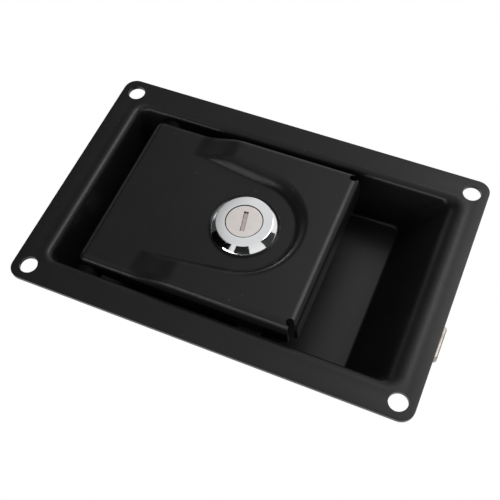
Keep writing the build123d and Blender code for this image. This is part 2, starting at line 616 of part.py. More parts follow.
def make_rocker_bracket():
    """The plate riveted under the pan floor whose two ears hold the rocker's pin."""
    slot_low, slot_high = rocker_slot()
    bottom = FLOOR_BACK - ROCKER_EAR_SHEET
    reach_y = ROCKER_EAR_HALF_SPAN + ROCKER_EAR_SHEET + ROCKER_PLATE_MARGIN
    low_x = ROCKER_X - ROCKER_PLATE_HALF_LENGTH
    high_x = ROCKER_X + ROCKER_PLATE_HALF_LENGTH
    plate = box_between((low_x, -reach_y, bottom), (high_x, reach_y, FLOOR_BACK))
    plate = plate - box_between(
        (slot_low, -ROCKER_EAR_HALF_SPAN, bottom - 1), (slot_high, ROCKER_EAR_HALF_SPAN, FLOOR_BACK + 1)
    )
    room = ROCKER_PIN_DIAMETER / 2 + ROCKER_HEAD_MARGIN + WORKING_GAP
    ear_outside = ROCKER_EAR_HALF_SPAN + ROCKER_EAR_SHEET
    for side in (-1, 1):
        low_y, high_y = sorted((side * ear_outside, side * (reach_y + 1)))
        low_corner = (ROCKER_X - room, low_y, bottom - 1)
        plate = plate - box_between(low_corner, (ROCKER_X + room, high_y, FLOOR_BACK + 1))
    circles = [(ROCKER_X, ROCKER_Z, ROCKER_EAR_RADIUS)]
    points = [(low_x + 1, bottom), (high_x - 1, bottom)]
    for side in (-1, 1):
        near = side * ROCKER_EAR_HALF_SPAN
        low = min(near, near + side * ROCKER_EAR_SHEET)
        plate = plate + hull_plate(circles, points, low, low + ROCKER_EAR_SHEET)
    plate = plate - box_between((low_x - 1, -reach_y - 1, FLOOR_BACK), (high_x + 1, reach_y + 1, FLOOR_TOP))
    plate = plate - rod_along_y(ROCKER_PIN_DIAMETER / 2, -reach_y, reach_y, ROCKER_X, ROCKER_Z)
    for x, y in floor_rivet_places()[:4]:
        plate = plate - rod_along_z(RIVET_DIAMETER / 2, bottom - 1, FLOOR_BACK + 1, x, y)
    return plate


def make_rocker_pin():
    """The rocker's pin, with a head outside one ear and a grooved tail outside the other."""
    radius = ROCKER_PIN_DIAMETER / 2
    outside = ROCKER_EAR_HALF_SPAN + ROCKER_EAR_SHEET
    pin = rod_along_y(radius, -outside, outside + 2.4, ROCKER_X, ROCKER_Z)
    head = rod_along_y(radius + ROCKER_HEAD_MARGIN, -outside - 1.2, -outside, ROCKER_X, ROCKER_Z)
    return pin + head - clip_groove(radius, outside + SIDE_GAP, ROCKER_X, ROCKER_Z)


def make_rocker_pin_clip():
    """The snap ring on the rocker pin's tail."""
    outside = ROCKER_EAR_HALF_SPAN + ROCKER_EAR_SHEET
    return retaining_clip(ROCKER_PIN_DIAMETER / 2 - CLIP_GROOVE_DEPTH, outside + SIDE_GAP, ROCKER_X, ROCKER_Z)


def make_rocker_spacers():
    """Two short tubes that keep the rocker in the middle of its pin."""
    low = ROCKER_WIDTH / 2 + SIDE_GAP
    high = ROCKER_EAR_HALF_SPAN - 0.1
    tube = rod_along_y(ROCKER_SPACER_RADIUS, low, high, ROCKER_X, ROCKER_Z)
    tube = tube - rod_along_y(ROCKER_PIN_DIAMETER / 2 + RUNNING_GAP, low - 1, high + 1, ROCKER_X, ROCKER_Z)
    return Compound([tube, mirror(tube, about=Plane.XZ)])


# ---------------------------------------------------------------- bolt slide, bolt and guides
def make_bolt_slide():
    """The folded channel under the floor, with windows for the rocker and the spring anchor."""
    half = SLIDE_WIDTH / 2
    channel = box_between((SLIDE_LEFT, -half, SLIDE_BOTTOM), (SLIDE_RIGHT, half, SLIDE_TOP))
    bends = edges_near(channel, lambda p: abs(abs(p.Y) - half) < 0.01 and p.Z > SLIDE_TOP - 0.01)
    channel = fillet(bends, SLIDE_BEND_RADIUS)
    inner = half - SLIDE_SHEET
    hollow = box_between((SLIDE_LEFT - 1, -inner, SLIDE_BOTTOM - 1), (SLIDE_RIGHT + 1, inner, SLIDE_UNDER))
    folds = edges_near(hollow, lambda p: abs(abs(p.Y) - inner) < 0.01 and p.Z > SLIDE_UNDER - 0.01)
    channel = channel - fillet(folds, SLIDE_BEND_RADIUS - SLIDE_SHEET)
    channel = channel - web_window(*rocker_window(), ROCKER_WIDTH / 2 + 1)
    channel = channel - web_window(*anchor_window(), ANCHOR_WIDTH / 2 + WORKING_GAP)
    pin = rod_along_y(DRIVE_PIN_DIAMETER / 2, -SLIDE_WIDTH, SLIDE_WIDTH, DRIVE_PIN_X, DRIVE_PIN_Z)
    channel = channel - pin
    for x, y in bolt_rivet_places():
        channel = channel - rod_along_z(BOLT_RIVET_DIAMETER / 2, SLIDE_UNDER - 1, SLIDE_TOP + 1, x, y)
    return channel


def web_window(x_low, x_high, half_y):
    """A rectangular window through the slide's web."""
    return box_between((x_low, -half_y, SLIDE_UNDER - 1), (x_high, half_y, SLIDE_TOP + 1))


def rocker_window():
    """The window's ends along X: the rocker's reach at web height, over the slide's travel."""
    sweep = (ROCKER_Z - SLIDE_UNDER) * math.tan(ROCKER_LEAN) + ROCKER_ARM / 2 / math.cos(ROCKER_LEAN)
    room = WORKING_GAP + SIDE_GAP
    reach = max(ROCKER_HUB_RADIUS, sweep - BOLT_TRAVEL) + room
    return ROCKER_X - reach, ROCKER_X + BOLT_TRAVEL + reach


def anchor_window():
    """The slot's ends along X round the fixed spring anchor, over the slide's travel."""
    room = WORKING_GAP
    return ANCHOR_X - GUIDE_SHEET / 2 - room, ANCHOR_X + GUIDE_SHEET / 2 + BOLT_TRAVEL + room


def bolt_rivet_places():
    """The two rivets, side by side, that hold the bolt in the channel."""
    x = BOLT_LEFT + BOLT_RIVET_INSET
    return [(x, side * BOLT_RIVET_PITCH / 2) for side in (-1, 1)]


def make_latch_bolt():
    """The bolt block nested in the channel: flat top, and a nose bevelled on its inward side."""
    half = BOLT_WIDTH / 2
    nose_z = BOLT_TOP - BOLT_NOSE
    outline = Polyline(
        (BOLT_LEFT, 0, BOLT_TOP), (BOLT_TIP_X, 0, BOLT_TOP), (BOLT_TIP_X, 0, nose_z),
        (BOLT_TIP_X - BOLT_BEVEL_RUN, 0, BOLT_BOTTOM), (BOLT_LEFT, 0, BOLT_BOTTOM), close=True,
    )
    bolt = plate_across_y(outline, -half, half)
    tip = edges_near(bolt, lambda p: p.X > BOLT_TIP_X - 0.01 and abs(abs(p.Y) - half) < 0.01)
    bolt = fillet(tip, 1.2)
    shoulders = edges_near(bolt, lambda p: p.Z > BOLT_TOP - 0.01 and abs(abs(p.Y) - half) < 0.01)
    bolt = fillet(shoulders, SLIDE_BEND_RADIUS - SLIDE_SHEET + RUNNING_GAP)
    for x, y in bolt_rivet_places():
        bolt = bolt - rod_along_z(BOLT_RIVET_DIAMETER / 2, BOLT_BOTTOM - 1, BOLT_TOP + 1, x, y)
    return bolt


def make_bolt_rivets():
    """The rivets through the channel's web and the bolt."""
    grip = SLIDE_SHEET + BOLT_THICKNESS
    return Compound([rivet(x, y, SLIDE_TOP, grip, 1, BOLT_RIVET_DIAMETER) for x, y in bolt_rivet_places()])


def make_drive_pin():
    """The pin across the channel that the rocker's foot pulls, peened over outside the flanges."""
    end = SLIDE_WIDTH / 2 + 0.7
    pin = rod_along_y(DRIVE_PIN_DIAMETER / 2, -end, end, DRIVE_PIN_X, DRIVE_PIN_Z)
    return chamfer(pin.edges().filter_by(GeomType.CIRCLE), 0.4)


def make_guide(x, foot_side):
    """A bent bracket welded or riveted under the floor, with a window that carries the slide."""
    half = SLIDE_WIDTH / 2 + GUIDE_MARGIN
    bottom = SLIDE_BOTTOM - GUIDE_MARGIN
    near = x - foot_side * GUIDE_SHEET / 2
    far = near + foot_side * (GUIDE_FOOT + GUIDE_SHEET)
    wall = box_between((x - GUIDE_SHEET / 2, -half, bottom), (x + GUIDE_SHEET / 2, half, FLOOR_BACK))
    window = box_between(
        (x - GUIDE_SHEET, -SLIDE_WIDTH / 2 - SIDE_GAP, SLIDE_BOTTOM - SIDE_GAP),
        (x + GUIDE_SHEET, SLIDE_WIDTH / 2 + SIDE_GAP, SLIDE_TOP + SIDE_GAP),
    )
    foot = box_between((min(near, far), -half, FLOOR_BACK - GUIDE_SHEET), (max(near, far), half, FLOOR_BACK))
    return wall + foot - window


def make_front_guide():
    """The welded guide behind the finger recess, near the bolt's nose."""
    return make_guide(FRONT_GUIDE_X, -1)


def make_rear_guide():
    """The riveted guide under the middle of the floor."""
    guide = make_guide(REAR_GUIDE_X, -1)
    for x, y in floor_rivet_places()[4:]:
        guide = guide - rod_along_z(RIVET_DIAMETER / 2, FLOOR_BACK - 5, FLOOR_BACK + 1, x, y)
    return guide


def make_spring_anchor():
    """The fixed tongue that the bolt spring pushes against, hanging through the slide's slot."""
    half = ANCHOR_WIDTH / 2
    wall_low = ANCHOR_X - GUIDE_SHEET / 2
    wall_high = ANCHOR_X + GUIDE_SHEET / 2
    wall = box_between((wall_low, -half, SLIDE_BOTTOM), (wall_high, half, FLOOR_BACK))
    foot_low = (wall_low - GUIDE_FOOT, -half * 2, FLOOR_BACK - GUIDE_SHEET)
    foot = box_between(foot_low, (wall_high, half * 2, FLOOR_BACK))
    return wall + foot


def make_bolt_spring():
    """The compression spring between the anchor and the bolt's inner end."""
    radius = (BOLT_SPRING_DIAMETER - SPRING_WIRE) / 2
    room = SPRING_WIRE / 2 + RUNNING_GAP
    start = ANCHOR_X + GUIDE_SHEET / 2 + room
    length = BOLT_LEFT - room - start
    middle_z = SLIDE_UNDER - SIDE_GAP - BOLT_SPRING_DIAMETER / 2
    turn = length / BOLT_SPRING_TURNS
    points = [(start + y, x, middle_z + z) for x, y, z in coil_points(radius, turn, BOLT_SPRING_TURNS)]
    return bent_wire(points, SPRING_WIRE)


# ---------------------------------------------------------------- rivets of the floor, lock keeper
def make_floor_rivets():
    """The rivets that hold the rocker bracket and the rear guide to the floor."""
    grip = PAN_SHEET + GUIDE_SHEET
    return Compound([rivet(x, y, FLOOR_TOP, grip) for x, y in floor_rivet_places()])


def make_lock_keeper():
    """The bent bracket on the floor whose hook reaches over the cam when the lock is turned."""
    wall_low = keeper_wall()
    wall_high = wall_low + KEEPER_SHEET
    hook_bottom = CAM_TOP + SIDE_GAP
    hook_top = hook_bottom + KEEPER_SHEET
    low_x = LOCK_X - KEEPER_LENGTH / 2
    high_x = LOCK_X + KEEPER_LENGTH / 2
    foot_top = FLOOR_TOP + KEEPER_SHEET
    outline = Polyline(
        (0, CAM_REACH - KEEPER_OVERLAP, hook_bottom), (0, wall_low, hook_bottom), (0, wall_low, FLOOR_TOP),
        (0, wall_high + KEEPER_FOOT, FLOOR_TOP), (0, wall_high + KEEPER_FOOT, foot_top),
        (0, wall_high, foot_top), (0, wall_high, hook_top), (0, CAM_REACH - KEEPER_OVERLAP, hook_top),
        close=True,
    )
    keeper = Pos(low_x, 0, 0) * extrude(make_face(outline), amount=high_x - low_x, dir=(1, 0, 0))
    bend = edges_near(keeper, lambda p: abs(p.Y - wall_high) < 0.01 and p.Z > hook_top - 0.01)
    keeper = fillet(bend, KEEPER_SHEET * 0.8)
    for x, y in keeper_rivet_places():
        keeper = keeper - rod_along_z(RIVET_DIAMETER / 2, FLOOR_TOP - 1, foot_top + 1, x, y)
    return keeper


def make_keeper_rivets():
    """The rivets through the keeper's foot and the floor."""
    grip = PAN_SHEET + KEEPER_SHEET
    return Compound([rivet(x, y, FLOOR_TOP + KEEPER_SHEET, grip) for x, y in keeper_rivet_places()])


# ---------------------------------------------------------------- lock
def make_lock_body():
    """The lock's housing: a bevelled bezel, a barrel with two flats, and a stepped bore."""
    bezel_radius = BEZEL_DIAMETER / 2
    band_top = PADDLE_LOW + BEZEL_BAND
    outline = Polyline(
        (0, 0, PADDLE_LOW), (bezel_radius, 0, PADDLE_LOW), (bezel_radius, 0, band_top),
        (BEZEL_FACE_DIAMETER / 2, 0, LOCK_FACE), (0, 0, LOCK_FACE), close=True,
    )
    bezel = Pos(LOCK_X, 0, 0) * revolve(make_face(outline), Axis.Z)
    body = bezel + lock_barrel(0)
    bore = PLUG_DIAMETER / 2 + PLUG_GAP
    shoulder = LOCK_BOTTOM + NECK_LENGTH
    body = body - rod_along_z(bore, shoulder, LOCK_FACE + 1, LOCK_X)
    body = body - rod_along_z(NECK_DIAMETER / 2 + RUNNING_GAP, LOCK_BOTTOM - 1, shoulder + 1, LOCK_X)
    centre = Vector(LOCK_X, 0, LOCK_FACE)
    mouth = edges_near(body, lambda p: (p - centre).length < bore + EDGE_BREAK)
    return chamfer(mouth, EDGE_BREAK)


def make_lock_plug():
    """The turning plug: key slot, shutter chamber, keyway, wafer slots, neck, square and screw hole."""
    top = LOCK_FACE - PLUG_RECESS
    shoulder = LOCK_BOTTOM + NECK_LENGTH + SIDE_GAP
    plug = rod_along_z(PLUG_DIAMETER / 2, shoulder, top)
    plug = chamfer(edges_near(plug, lambda p: p.Z > top - 0.01), EDGE_BREAK)
    plug = plug + rod_along_z(NECK_DIAMETER / 2, CAM_TOP, shoulder)
    half_square = CAM_SQUARE / 2
    plug = plug + box_between((-half_square, -half_square, CAM_BOTTOM), (half_square, half_square, CAM_TOP))
    half_slot = KEY_SLOT_LENGTH / 2
    half_width = KEY_SLOT_WIDTH / 2
    slot = box_between((-half_width, -half_slot, top - 2), (half_width, half_slot, top + 1))
    lip_z = top - shutter_lip()
    chamber_low, chamber_high, chamber_depth = shutter_chamber()
    chamber_half = SHUTTER_LENGTH / 2 + SHUTTER_GAP
    chamber_corner = (chamber_low, -chamber_half, lip_z - chamber_depth)
    chamber = box_between(chamber_corner, (chamber_high, chamber_half, lip_z))
    keyway_corner = (-KEYWAY_WIDTH / 2, -half_slot, top - KEYWAY_DEPTH)
    keyway = box_between(keyway_corner, (KEYWAY_WIDTH / 2, half_slot, lip_z))
    plug = plug - slot - chamber - keyway
    for z in wafer_heights():
        half_x = WAFER_WIDTH / 2 + WAFER_GAP
        low = (-half_x, -PLUG_DIAMETER, z - WAFER_GAP)
        high = (half_x, PLUG_DIAMETER, z + WAFER_THICKNESS + WAFER_GAP)
        plug = plug - box_between(low, high)
    plug = plug - rod_along_z(CAM_SCREW_DIAMETER / 2, CAM_BOTTOM - 1, CAM_BOTTOM + CAM_SCREW_LENGTH)
    return turned_plug(plug)


def shutter_lip():
    """The thickness of the plug's face over the shutter, thin enough for the shutter to clear it."""
    return KEY_SLOT_WIDTH / 2 - SHUTTER_GAP - EDGE_BREAK / 2


def shutter_chamber():
    """The shutter chamber's two sides along the slot's width, and its depth."""
    reach = KEY_SLOT_WIDTH / 2 + SHUTTER_OVERLAP
    low = -reach - 2 * SHUTTER_KNUCKLE - 2 * SHUTTER_GAP
    return low, reach + SHUTTER_GAP, 2 * reach + 3 * SHUTTER_KNUCKLE + SHUTTER_GAP


def turned_plug(shape):
    """Places a piece of the lock cylinder: on the lock's axis, turned to the key slot's angle."""
    return Pos(LOCK_X, 0, 0) * Rot(0, 0, KEY_SLOT_ANGLE) * shape


def wafer_heights():
    """The underside of each wafer, counted down from the plug's face."""
    first = LOCK_FACE - WAFER_FIRST_DEPTH
    return [first - number * WAFER_PITCH for number in range(WAFER_COUNT)]


def make_keyway_shutter():
    """The sprung dust flap just under the plug's face, with its hinge knuckle along one side."""
    knuckle_x, knuckle_z = shutter_hinge()
    half = SHUTTER_LENGTH / 2
    reach = KEY_SLOT_WIDTH / 2 + SHUTTER_OVERLAP
    top = knuckle_z + SHUTTER_KNUCKLE
    flap = box_between((knuckle_x, -half, top - SHUTTER_THICKNESS), (reach, half, top))
    return turned_plug(flap + rod_along_y(SHUTTER_KNUCKLE, -half, half, knuckle_x, knuckle_z))


def shutter_hinge():
    """The shutter's hinge line in the plug's own frame, as x and z."""
    low, _, _ = shutter_chamber()
    top = LOCK_FACE - PLUG_RECESS - shutter_lip() - SHUTTER_GAP
    return low + SHUTTER_GAP + SHUTTER_KNUCKLE, top - SHUTTER_KNUCKLE


def make_wafer_tumblers():
    """The thin sliding plates across the keyway, each with a window for the key."""
    wafers = []
    for z in wafer_heights():
        high_corner = (WAFER_WIDTH / 2, WAFER_LENGTH / 2, z + WAFER_THICKNESS)
        plate = box_between((-WAFER_WIDTH / 2, -WAFER_LENGTH / 2, z), high_corner)
        half_x = WAFER_WINDOW_WIDTH / 2
        half_y = WAFER_WINDOW_LENGTH / 2
        plate = plate - box_between((-half_x, -half_y, z - 1), (half_x, half_y, z + 2))
        wafers.append(turned_plug(plate))
    return Compound(wafers)


def make_lock_washer():
    """The toothed washer between the paddle and the nut."""
    ring = rod_along_z(WASHER_DIAMETER / 2, PADDLE_BACK - WASHER_SHEET, PADDLE_BACK)
    ring = ring - rod_along_z(LOCK_BODY_DIAMETER / 2 + SIDE_GAP, PADDLE_BACK - 2, PADDLE_BACK + 1)
    notch_low = (WASHER_DIAMETER / 2 - WASHER_NOTCH_DEPTH, -WASHER_NOTCH_WIDTH / 2, PADDLE_BACK - 2)
    notch = box_between(notch_low, (WASHER_DIAMETER, WASHER_NOTCH_WIDTH / 2, PADDLE_BACK + 1))
    for number in range(WASHER_TEETH):
        ring = ring - Rot(0, 0, 360 * number / WASHER_TEETH) * notch
    return Pos(LOCK_X, 0, 0) * ring


def make_lock_nut():
    """The hexagon nut that clamps the lock to the paddle."""
    top = PADDLE_BACK - WASHER_SHEET
    hexagon = RegularPolygon(NUT_ACROSS_FLATS / 2, 6, major_radius=False)
    nut = Pos(0, 0, top - NUT_HEIGHT) * extrude(hexagon, NUT_HEIGHT)
    nut = nut - rod_along_z(LOCK_BODY_DIAMETER / 2 + RUNNING_GAP, top - NUT_HEIGHT - 1, top + 1)
    return Pos(LOCK_X, 0, 0) * nut


def make_lock_cam():
    """The flat cam on the plug's square: round-ended, pointing to the pivot when unlocked."""
    radius = CAM_WIDTH / 2
    tip = CAM_REACH - radius
    cam = rod_along_z(radius, CAM_BOTTOM, CAM_TOP, -tip) + rod_along_z(radius, CAM_BOTTOM, CAM_TOP)
    cam = cam + box_between((-tip, -radius, CAM_BOTTOM), (0, radius, CAM_TOP))
    half = CAM_SQUARE / 2
    square = box_between((-half, -half, CAM_BOTTOM - 1), (half, half, CAM_TOP + 1))
    return Pos(LOCK_X, 0, 0) * (cam - Rot(0, 0, KEY_SLOT_ANGLE) * square)


def make_cam_washer():
    """The washer under the cam screw's head."""
    ring = rod_along_z(CAM_WASHER_DIAMETER / 2, CAM_BOTTOM - WASHER_SHEET, CAM_BOTTOM, LOCK_X)
    return ring - rod_along_z(CAM_SCREW_DIAMETER / 2, CAM_BOTTOM - 2, CAM_BOTTOM + 1, LOCK_X)


def make_cam_screw():
    """The cross-recessed screw that holds the cam on the plug."""
    seat = CAM_BOTTOM - WASHER_SHEET
    head = rod_along_z(CAM_SCREW_HEAD / 2, seat - CAM_SCREW_HEAD_HEIGHT, seat)
    head_top = seat - CAM_SCREW_HEAD_HEIGHT
    head = chamfer(edges_near(head, lambda p: p.Z < head_top + 0.01), CAM_SCREW_CHAMFER)
    shank = rod_along_z(CAM_SCREW_DIAMETER / 2, seat, CAM_BOTTOM + CAM_SCREW_LENGTH - 1)
    screw = head + shank
    for angle in (45, 135):
        low = (-CAM_SCREW_CROSS / 2, -CAM_SCREW_SLOT / 2, seat - 2 * CAM_SCREW_HEAD_HEIGHT)
        high = (CAM_SCREW_CROSS / 2, CAM_SCREW_SLOT / 2, seat - CAM_SCREW_HEAD_HEIGHT + CAM_SCREW_CROSS_DEPTH)
        screw = screw - Rot(0, 0, angle) * box_between(low, high)
    return Pos(LOCK_X, 0, 0) * screw


PIECES = {
    "mounting_pan": make_mounting_pan,
    "pivot_pin": make_pivot_pin,
    "pivot_pin_clip": make_pivot_pin_clip,
    "pivot_spacers": make_pivot_spacers,
    "paddle_stops": make_paddle_stops,
    "paddle_return_springs": make_return_springs,
    "paddle": make_paddle,
    "drive_bracket": make_drive_bracket,
    "drive_roller": make_drive_roller,
    "rocker": make_rocker,
    "rocker_bracket": make_rocker_bracket,
    "rocker_pin": make_rocker_pin,
    "rocker_pin_clip": make_rocker_pin_clip,
    "rocker_spacers": make_rocker_spacers,
    "bolt_slide": make_bolt_slide,
    "latch_bolt": make_latch_bolt,
    "bolt_rivets": make_bolt_rivets,
    "drive_pin": make_drive_pin,
    "front_bolt_guide": make_front_guide,
    "rear_bolt_guide": make_rear_guide,
    "spring_anchor": make_spring_anchor,
    "bolt_spring": make_bolt_spring,
    "floor_rivets": make_floor_rivets,
    "lock_keeper": make_lock_keeper,
    "keeper_rivets": make_keeper_rivets,
    "lock_body": make_lock_body,
    "lock_plug": make_lock_plug,
    "keyway_shutter": make_keyway_shutter,
    "wafer_tumblers": make_wafer_tumblers,
    "lock_washer": make_lock_washer,
    "lock_nut": make_lock_nut,
    "lock_cam": make_lock_cam,
    "cam_washer": make_cam_washer,
    "cam_screw": make_cam_screw,
}

os.makedirs("parts", exist_ok=True)
for name, make in PIECES.items():
    export_step(make(), f"parts/{name}.step")
print(f"bolt travel {BOLT_TRAVEL:.2f} mm, rocker turns {ROCKER_TRAVEL:.2f} degrees")
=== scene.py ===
# %% [markdown]
# # A recessed paddle latch
#
# This latch is a pressed steel tray that is let into a door. A paddle lies in the tray and turns on
# a pin at its left edge. A small cylinder lock goes through the paddle. Behind the tray are a
# rocker, a sliding bolt and its spring.
#
# The frame is already made and it is never moved here. Every distance below is in metres, +Z comes
# out of the door towards the hand, and +X points at the bolt.

# %% Load the frame
import json
import math

import bpy
import numpy as np
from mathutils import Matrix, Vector


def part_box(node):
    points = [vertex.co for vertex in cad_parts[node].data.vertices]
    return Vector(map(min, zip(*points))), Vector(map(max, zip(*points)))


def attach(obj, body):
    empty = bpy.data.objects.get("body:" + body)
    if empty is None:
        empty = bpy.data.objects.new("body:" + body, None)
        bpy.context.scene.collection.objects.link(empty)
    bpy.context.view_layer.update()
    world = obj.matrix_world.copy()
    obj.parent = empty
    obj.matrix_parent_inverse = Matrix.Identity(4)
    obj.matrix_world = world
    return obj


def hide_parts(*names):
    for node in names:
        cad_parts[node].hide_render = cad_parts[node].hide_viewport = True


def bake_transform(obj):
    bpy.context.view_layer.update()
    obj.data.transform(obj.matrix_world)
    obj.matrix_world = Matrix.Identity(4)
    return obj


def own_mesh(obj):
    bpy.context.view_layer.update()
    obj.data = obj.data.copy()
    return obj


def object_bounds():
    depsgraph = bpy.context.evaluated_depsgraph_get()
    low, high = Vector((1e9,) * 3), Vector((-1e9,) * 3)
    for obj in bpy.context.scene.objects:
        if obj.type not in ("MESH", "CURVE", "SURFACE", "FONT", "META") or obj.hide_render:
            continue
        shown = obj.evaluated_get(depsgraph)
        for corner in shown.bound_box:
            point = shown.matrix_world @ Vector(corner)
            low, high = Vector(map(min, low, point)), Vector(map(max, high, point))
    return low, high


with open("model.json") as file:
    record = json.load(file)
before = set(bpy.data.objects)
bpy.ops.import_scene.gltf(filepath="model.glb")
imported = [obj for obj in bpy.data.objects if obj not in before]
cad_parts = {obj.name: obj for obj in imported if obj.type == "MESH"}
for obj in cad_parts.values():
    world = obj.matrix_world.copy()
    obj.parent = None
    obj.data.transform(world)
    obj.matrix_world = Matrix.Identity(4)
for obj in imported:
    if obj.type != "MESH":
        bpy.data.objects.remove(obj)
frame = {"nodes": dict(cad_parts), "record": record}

cad_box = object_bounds()
MM = 0.001
MICRON = 0.000001
print("nodes:", len(frame["nodes"]), "box:", cad_box)

# %% [markdown]
# ## The camera
#
# The latch is seen from above its near long side, a little from the right, through a moderately
# long lens. The three turns below were worked out from the four corner holes of the flange, whose
# real spacing is known, so every other piece falls into its own place.

# %% Camera
camera_data = bpy.data.cameras.new("camera")
camera_data.sensor_width = 36.0
camera_data.lens = 59.57
camera_data.clip_start = 0.01
camera = bpy.data.objects.new("camera", camera_data)
bpy.context.scene.collection.objects.link(camera)
camera.location = (0.070518, -0.130337, 0.237675)
camera.rotation_euler = (0.531654, 0.059649, 0.404775)
bpy.context.scene.camera = camera
print("camera at", tuple(round(v, 4) for v in camera.location), "lens", camera_data.lens, "mm")

# %% [markdown]
# ## Small helpers
#
# A surface here is a grid of points worked out with numpy: rows follow one parameter and columns
# the other. One helper turns the grid into a mesh, and another joins a grid's last column to its
# first where the shape closes on itself.

# %% Mesh helpers
def new_mesh(name, points, faces, smooth=True):
    """Puts an array of points and a list of faces into a new mesh object at the origin."""
    mesh = bpy.data.meshes.new(name)
    mesh.from_pydata(np.asarray(points, float).tolist(), [], [tuple(face) for face in faces])
    mesh.polygons.foreach_set("use_smooth", [smooth] * len(mesh.polygons))
    mesh.update()
    piece = bpy.data.objects.new(name, mesh)
    bpy.context.scene.collection.objects.link(piece)
    return piece


def grid_faces(rows, columns, wrap=False):
    """The quads of a grid with that many rows and columns: corner, right, above right, above."""
    last = columns if wrap else columns - 1
    row, column = np.meshgrid(np.arange(rows - 1), np.arange(last), indexing="ij")
    row, column = row.ravel(), column.ravel()
    right = (column + 1) % columns
    a = row * columns + column
    b = row * columns + right
    c = (row + 1) * columns + right
    d = (row + 1) * columns + column
    return np.stack([a, b, c, d], axis=1)


print("a 3 by 4 grid has", len(grid_faces(3, 4)), "quads, and wrapped", len(grid_faces(3, 4, True)))

# %% [markdown]
# ## Finishes
#
# Most finishes share four effects, each made once as a node group. **Fine skin** is the orange
# peel of a baked coat or the grain of a plated surface, a height for a bump. **Mottle** is a soft
# change from place to place that moves colour and roughness. **Worn edge** is a mask that is 1 on
# sharp convex edges, where a coat is thin and rubbed. **Dust** is a mask of a few small specks.
#
# Most of a node tree is a sum or a product of earlier values. So a few helpers make one node each,
# join it to the values it needs, and give back its output.

# %% Node helpers
def node(tree, kind, **values):
    """Adds a node and sets its plain properties and, by name, its inputs."""
    made = tree.nodes.new(kind)
    for key, value in values.items():
        if hasattr(made, key):
            setattr(made, key, value)
        else:
            made.inputs[key.replace("_", " ")].default_value = value
    return made


def new_group(name, inputs, outputs):
    """An empty node group with named number inputs (and their defaults) and named outputs."""
    tree = bpy.data.node_groups.new(name, "ShaderNodeTree")
    for label, default in inputs:
        socket = tree.interface.new_socket(label, in_out="INPUT", socket_type="NodeSocketFloat")
        socket.default_value = default
    for label in outputs:
        tree.interface.new_socket(label, in_out="OUTPUT", socket_type="NodeSocketFloat")
    return tree, tree.nodes.new("NodeGroupInput"), tree.nodes.new("NodeGroupOutput")


def join(tree, *pairs):
    """Links each pair of an output and an input."""
    for source, target in pairs:
        tree.links.new(source, target)


def use(tree, group, output, **values):
    """Puts a node group into a tree, gives its inputs their values and gives back the named output."""
    made = node(tree, "ShaderNodeGroup", node_tree=group, **values)
    return made.outputs[output]


def calculate(tree, operation, *values, use_clamp=False):
    """One Math node, whose values are numbers or other nodes' outputs."""
    made = node(tree, "ShaderNodeMath", operation=operation, use_clamp=use_clamp)
    for socket, value in zip(made.inputs, values):
        if isinstance(value, (int, float)):
            socket.default_value = value
        else:
            tree.links.new(value, socket)
    return made.outputs[0]


def ranged(tree, value, start, stop, low=0.0, high=1.0, **settings):
    """One Map Range node: start to stop becomes low to high, and the result is held between them."""
    made = node(tree, "ShaderNodeMapRange", clamp=True, **settings)
    for label, number in (("From Min", start), ("From Max", stop), ("To Min", low), ("To Max", high)):
        made.inputs[label].default_value = number
    join(tree, (value, made.inputs["Value"]))
    return made.outputs[0]


def blended(tree, share, first, second):
    """One colour Mix node: first where share is 0, second where it is 1, each a colour or an output."""
    made = node(tree, "ShaderNodeMix", data_type="RGBA")
    join(tree, (share, made.inputs[0]))
    for socket, value in ((made.inputs[6], first), (made.inputs[7], second)):
        if isinstance(value, tuple):
            socket.default_value = (*value, 1)
        else:
            tree.links.new(value, socket)
    return made.outputs[2]


def noise(tree, scale, detail, roughness):
    """Noise between 0 and 1 in the piece's own coordinates, with its scale taken from an output."""
    place_in = node(tree, "ShaderNodeTexCoord")
    made = node(tree, "ShaderNodeTexNoise", Detail=detail, Roughness=roughness)
    join(tree, (place_in.outputs["Object"], made.inputs["Vector"]), (scale, made.inputs["Scale"]))
    return made.outputs["Fac"]


print("node helpers ready")

# %% Fine skin: a height made of a fine grain and a slower wave
fine_skin, inside, outside = new_group(
    "fine skin", [("Grain per metre", 2500.0), ("Wave per metre", 300.0), ("Wave share", 0.5)], ["Height"]
)
blend = node(fine_skin, "ShaderNodeMix", data_type="FLOAT")
join(
    fine_skin,
    (inside.outputs["Wave share"], blend.inputs[0]),
    (noise(fine_skin, inside.outputs["Grain per metre"], 2.0, 0.5), blend.inputs[2]),
    (noise(fine_skin, inside.outputs["Wave per metre"], 1.0, 0.4), blend.inputs[3]),
    (blend.outputs[0], outside.inputs["Height"]),
)
print("fine skin:", len(fine_skin.nodes), "nodes")

# %% Mottle: soft patches between 0 and 1
mottle, inside, outside = new_group("mottle", [("Patches per metre", 60.0), ("Contrast", 2.0)], ["Patches"])
centred = calculate(mottle, "SUBTRACT", noise(mottle, inside.outputs["Patches per metre"], 5.0, 0.62), 0.5)
scaled = calculate(mottle, "MULTIPLY_ADD", centred, inside.outputs["Contrast"], 0.5, use_clamp=True)
join(mottle, (scaled, outside.inputs["Patches"]))
print("mottle:", len(mottle.nodes), "nodes")

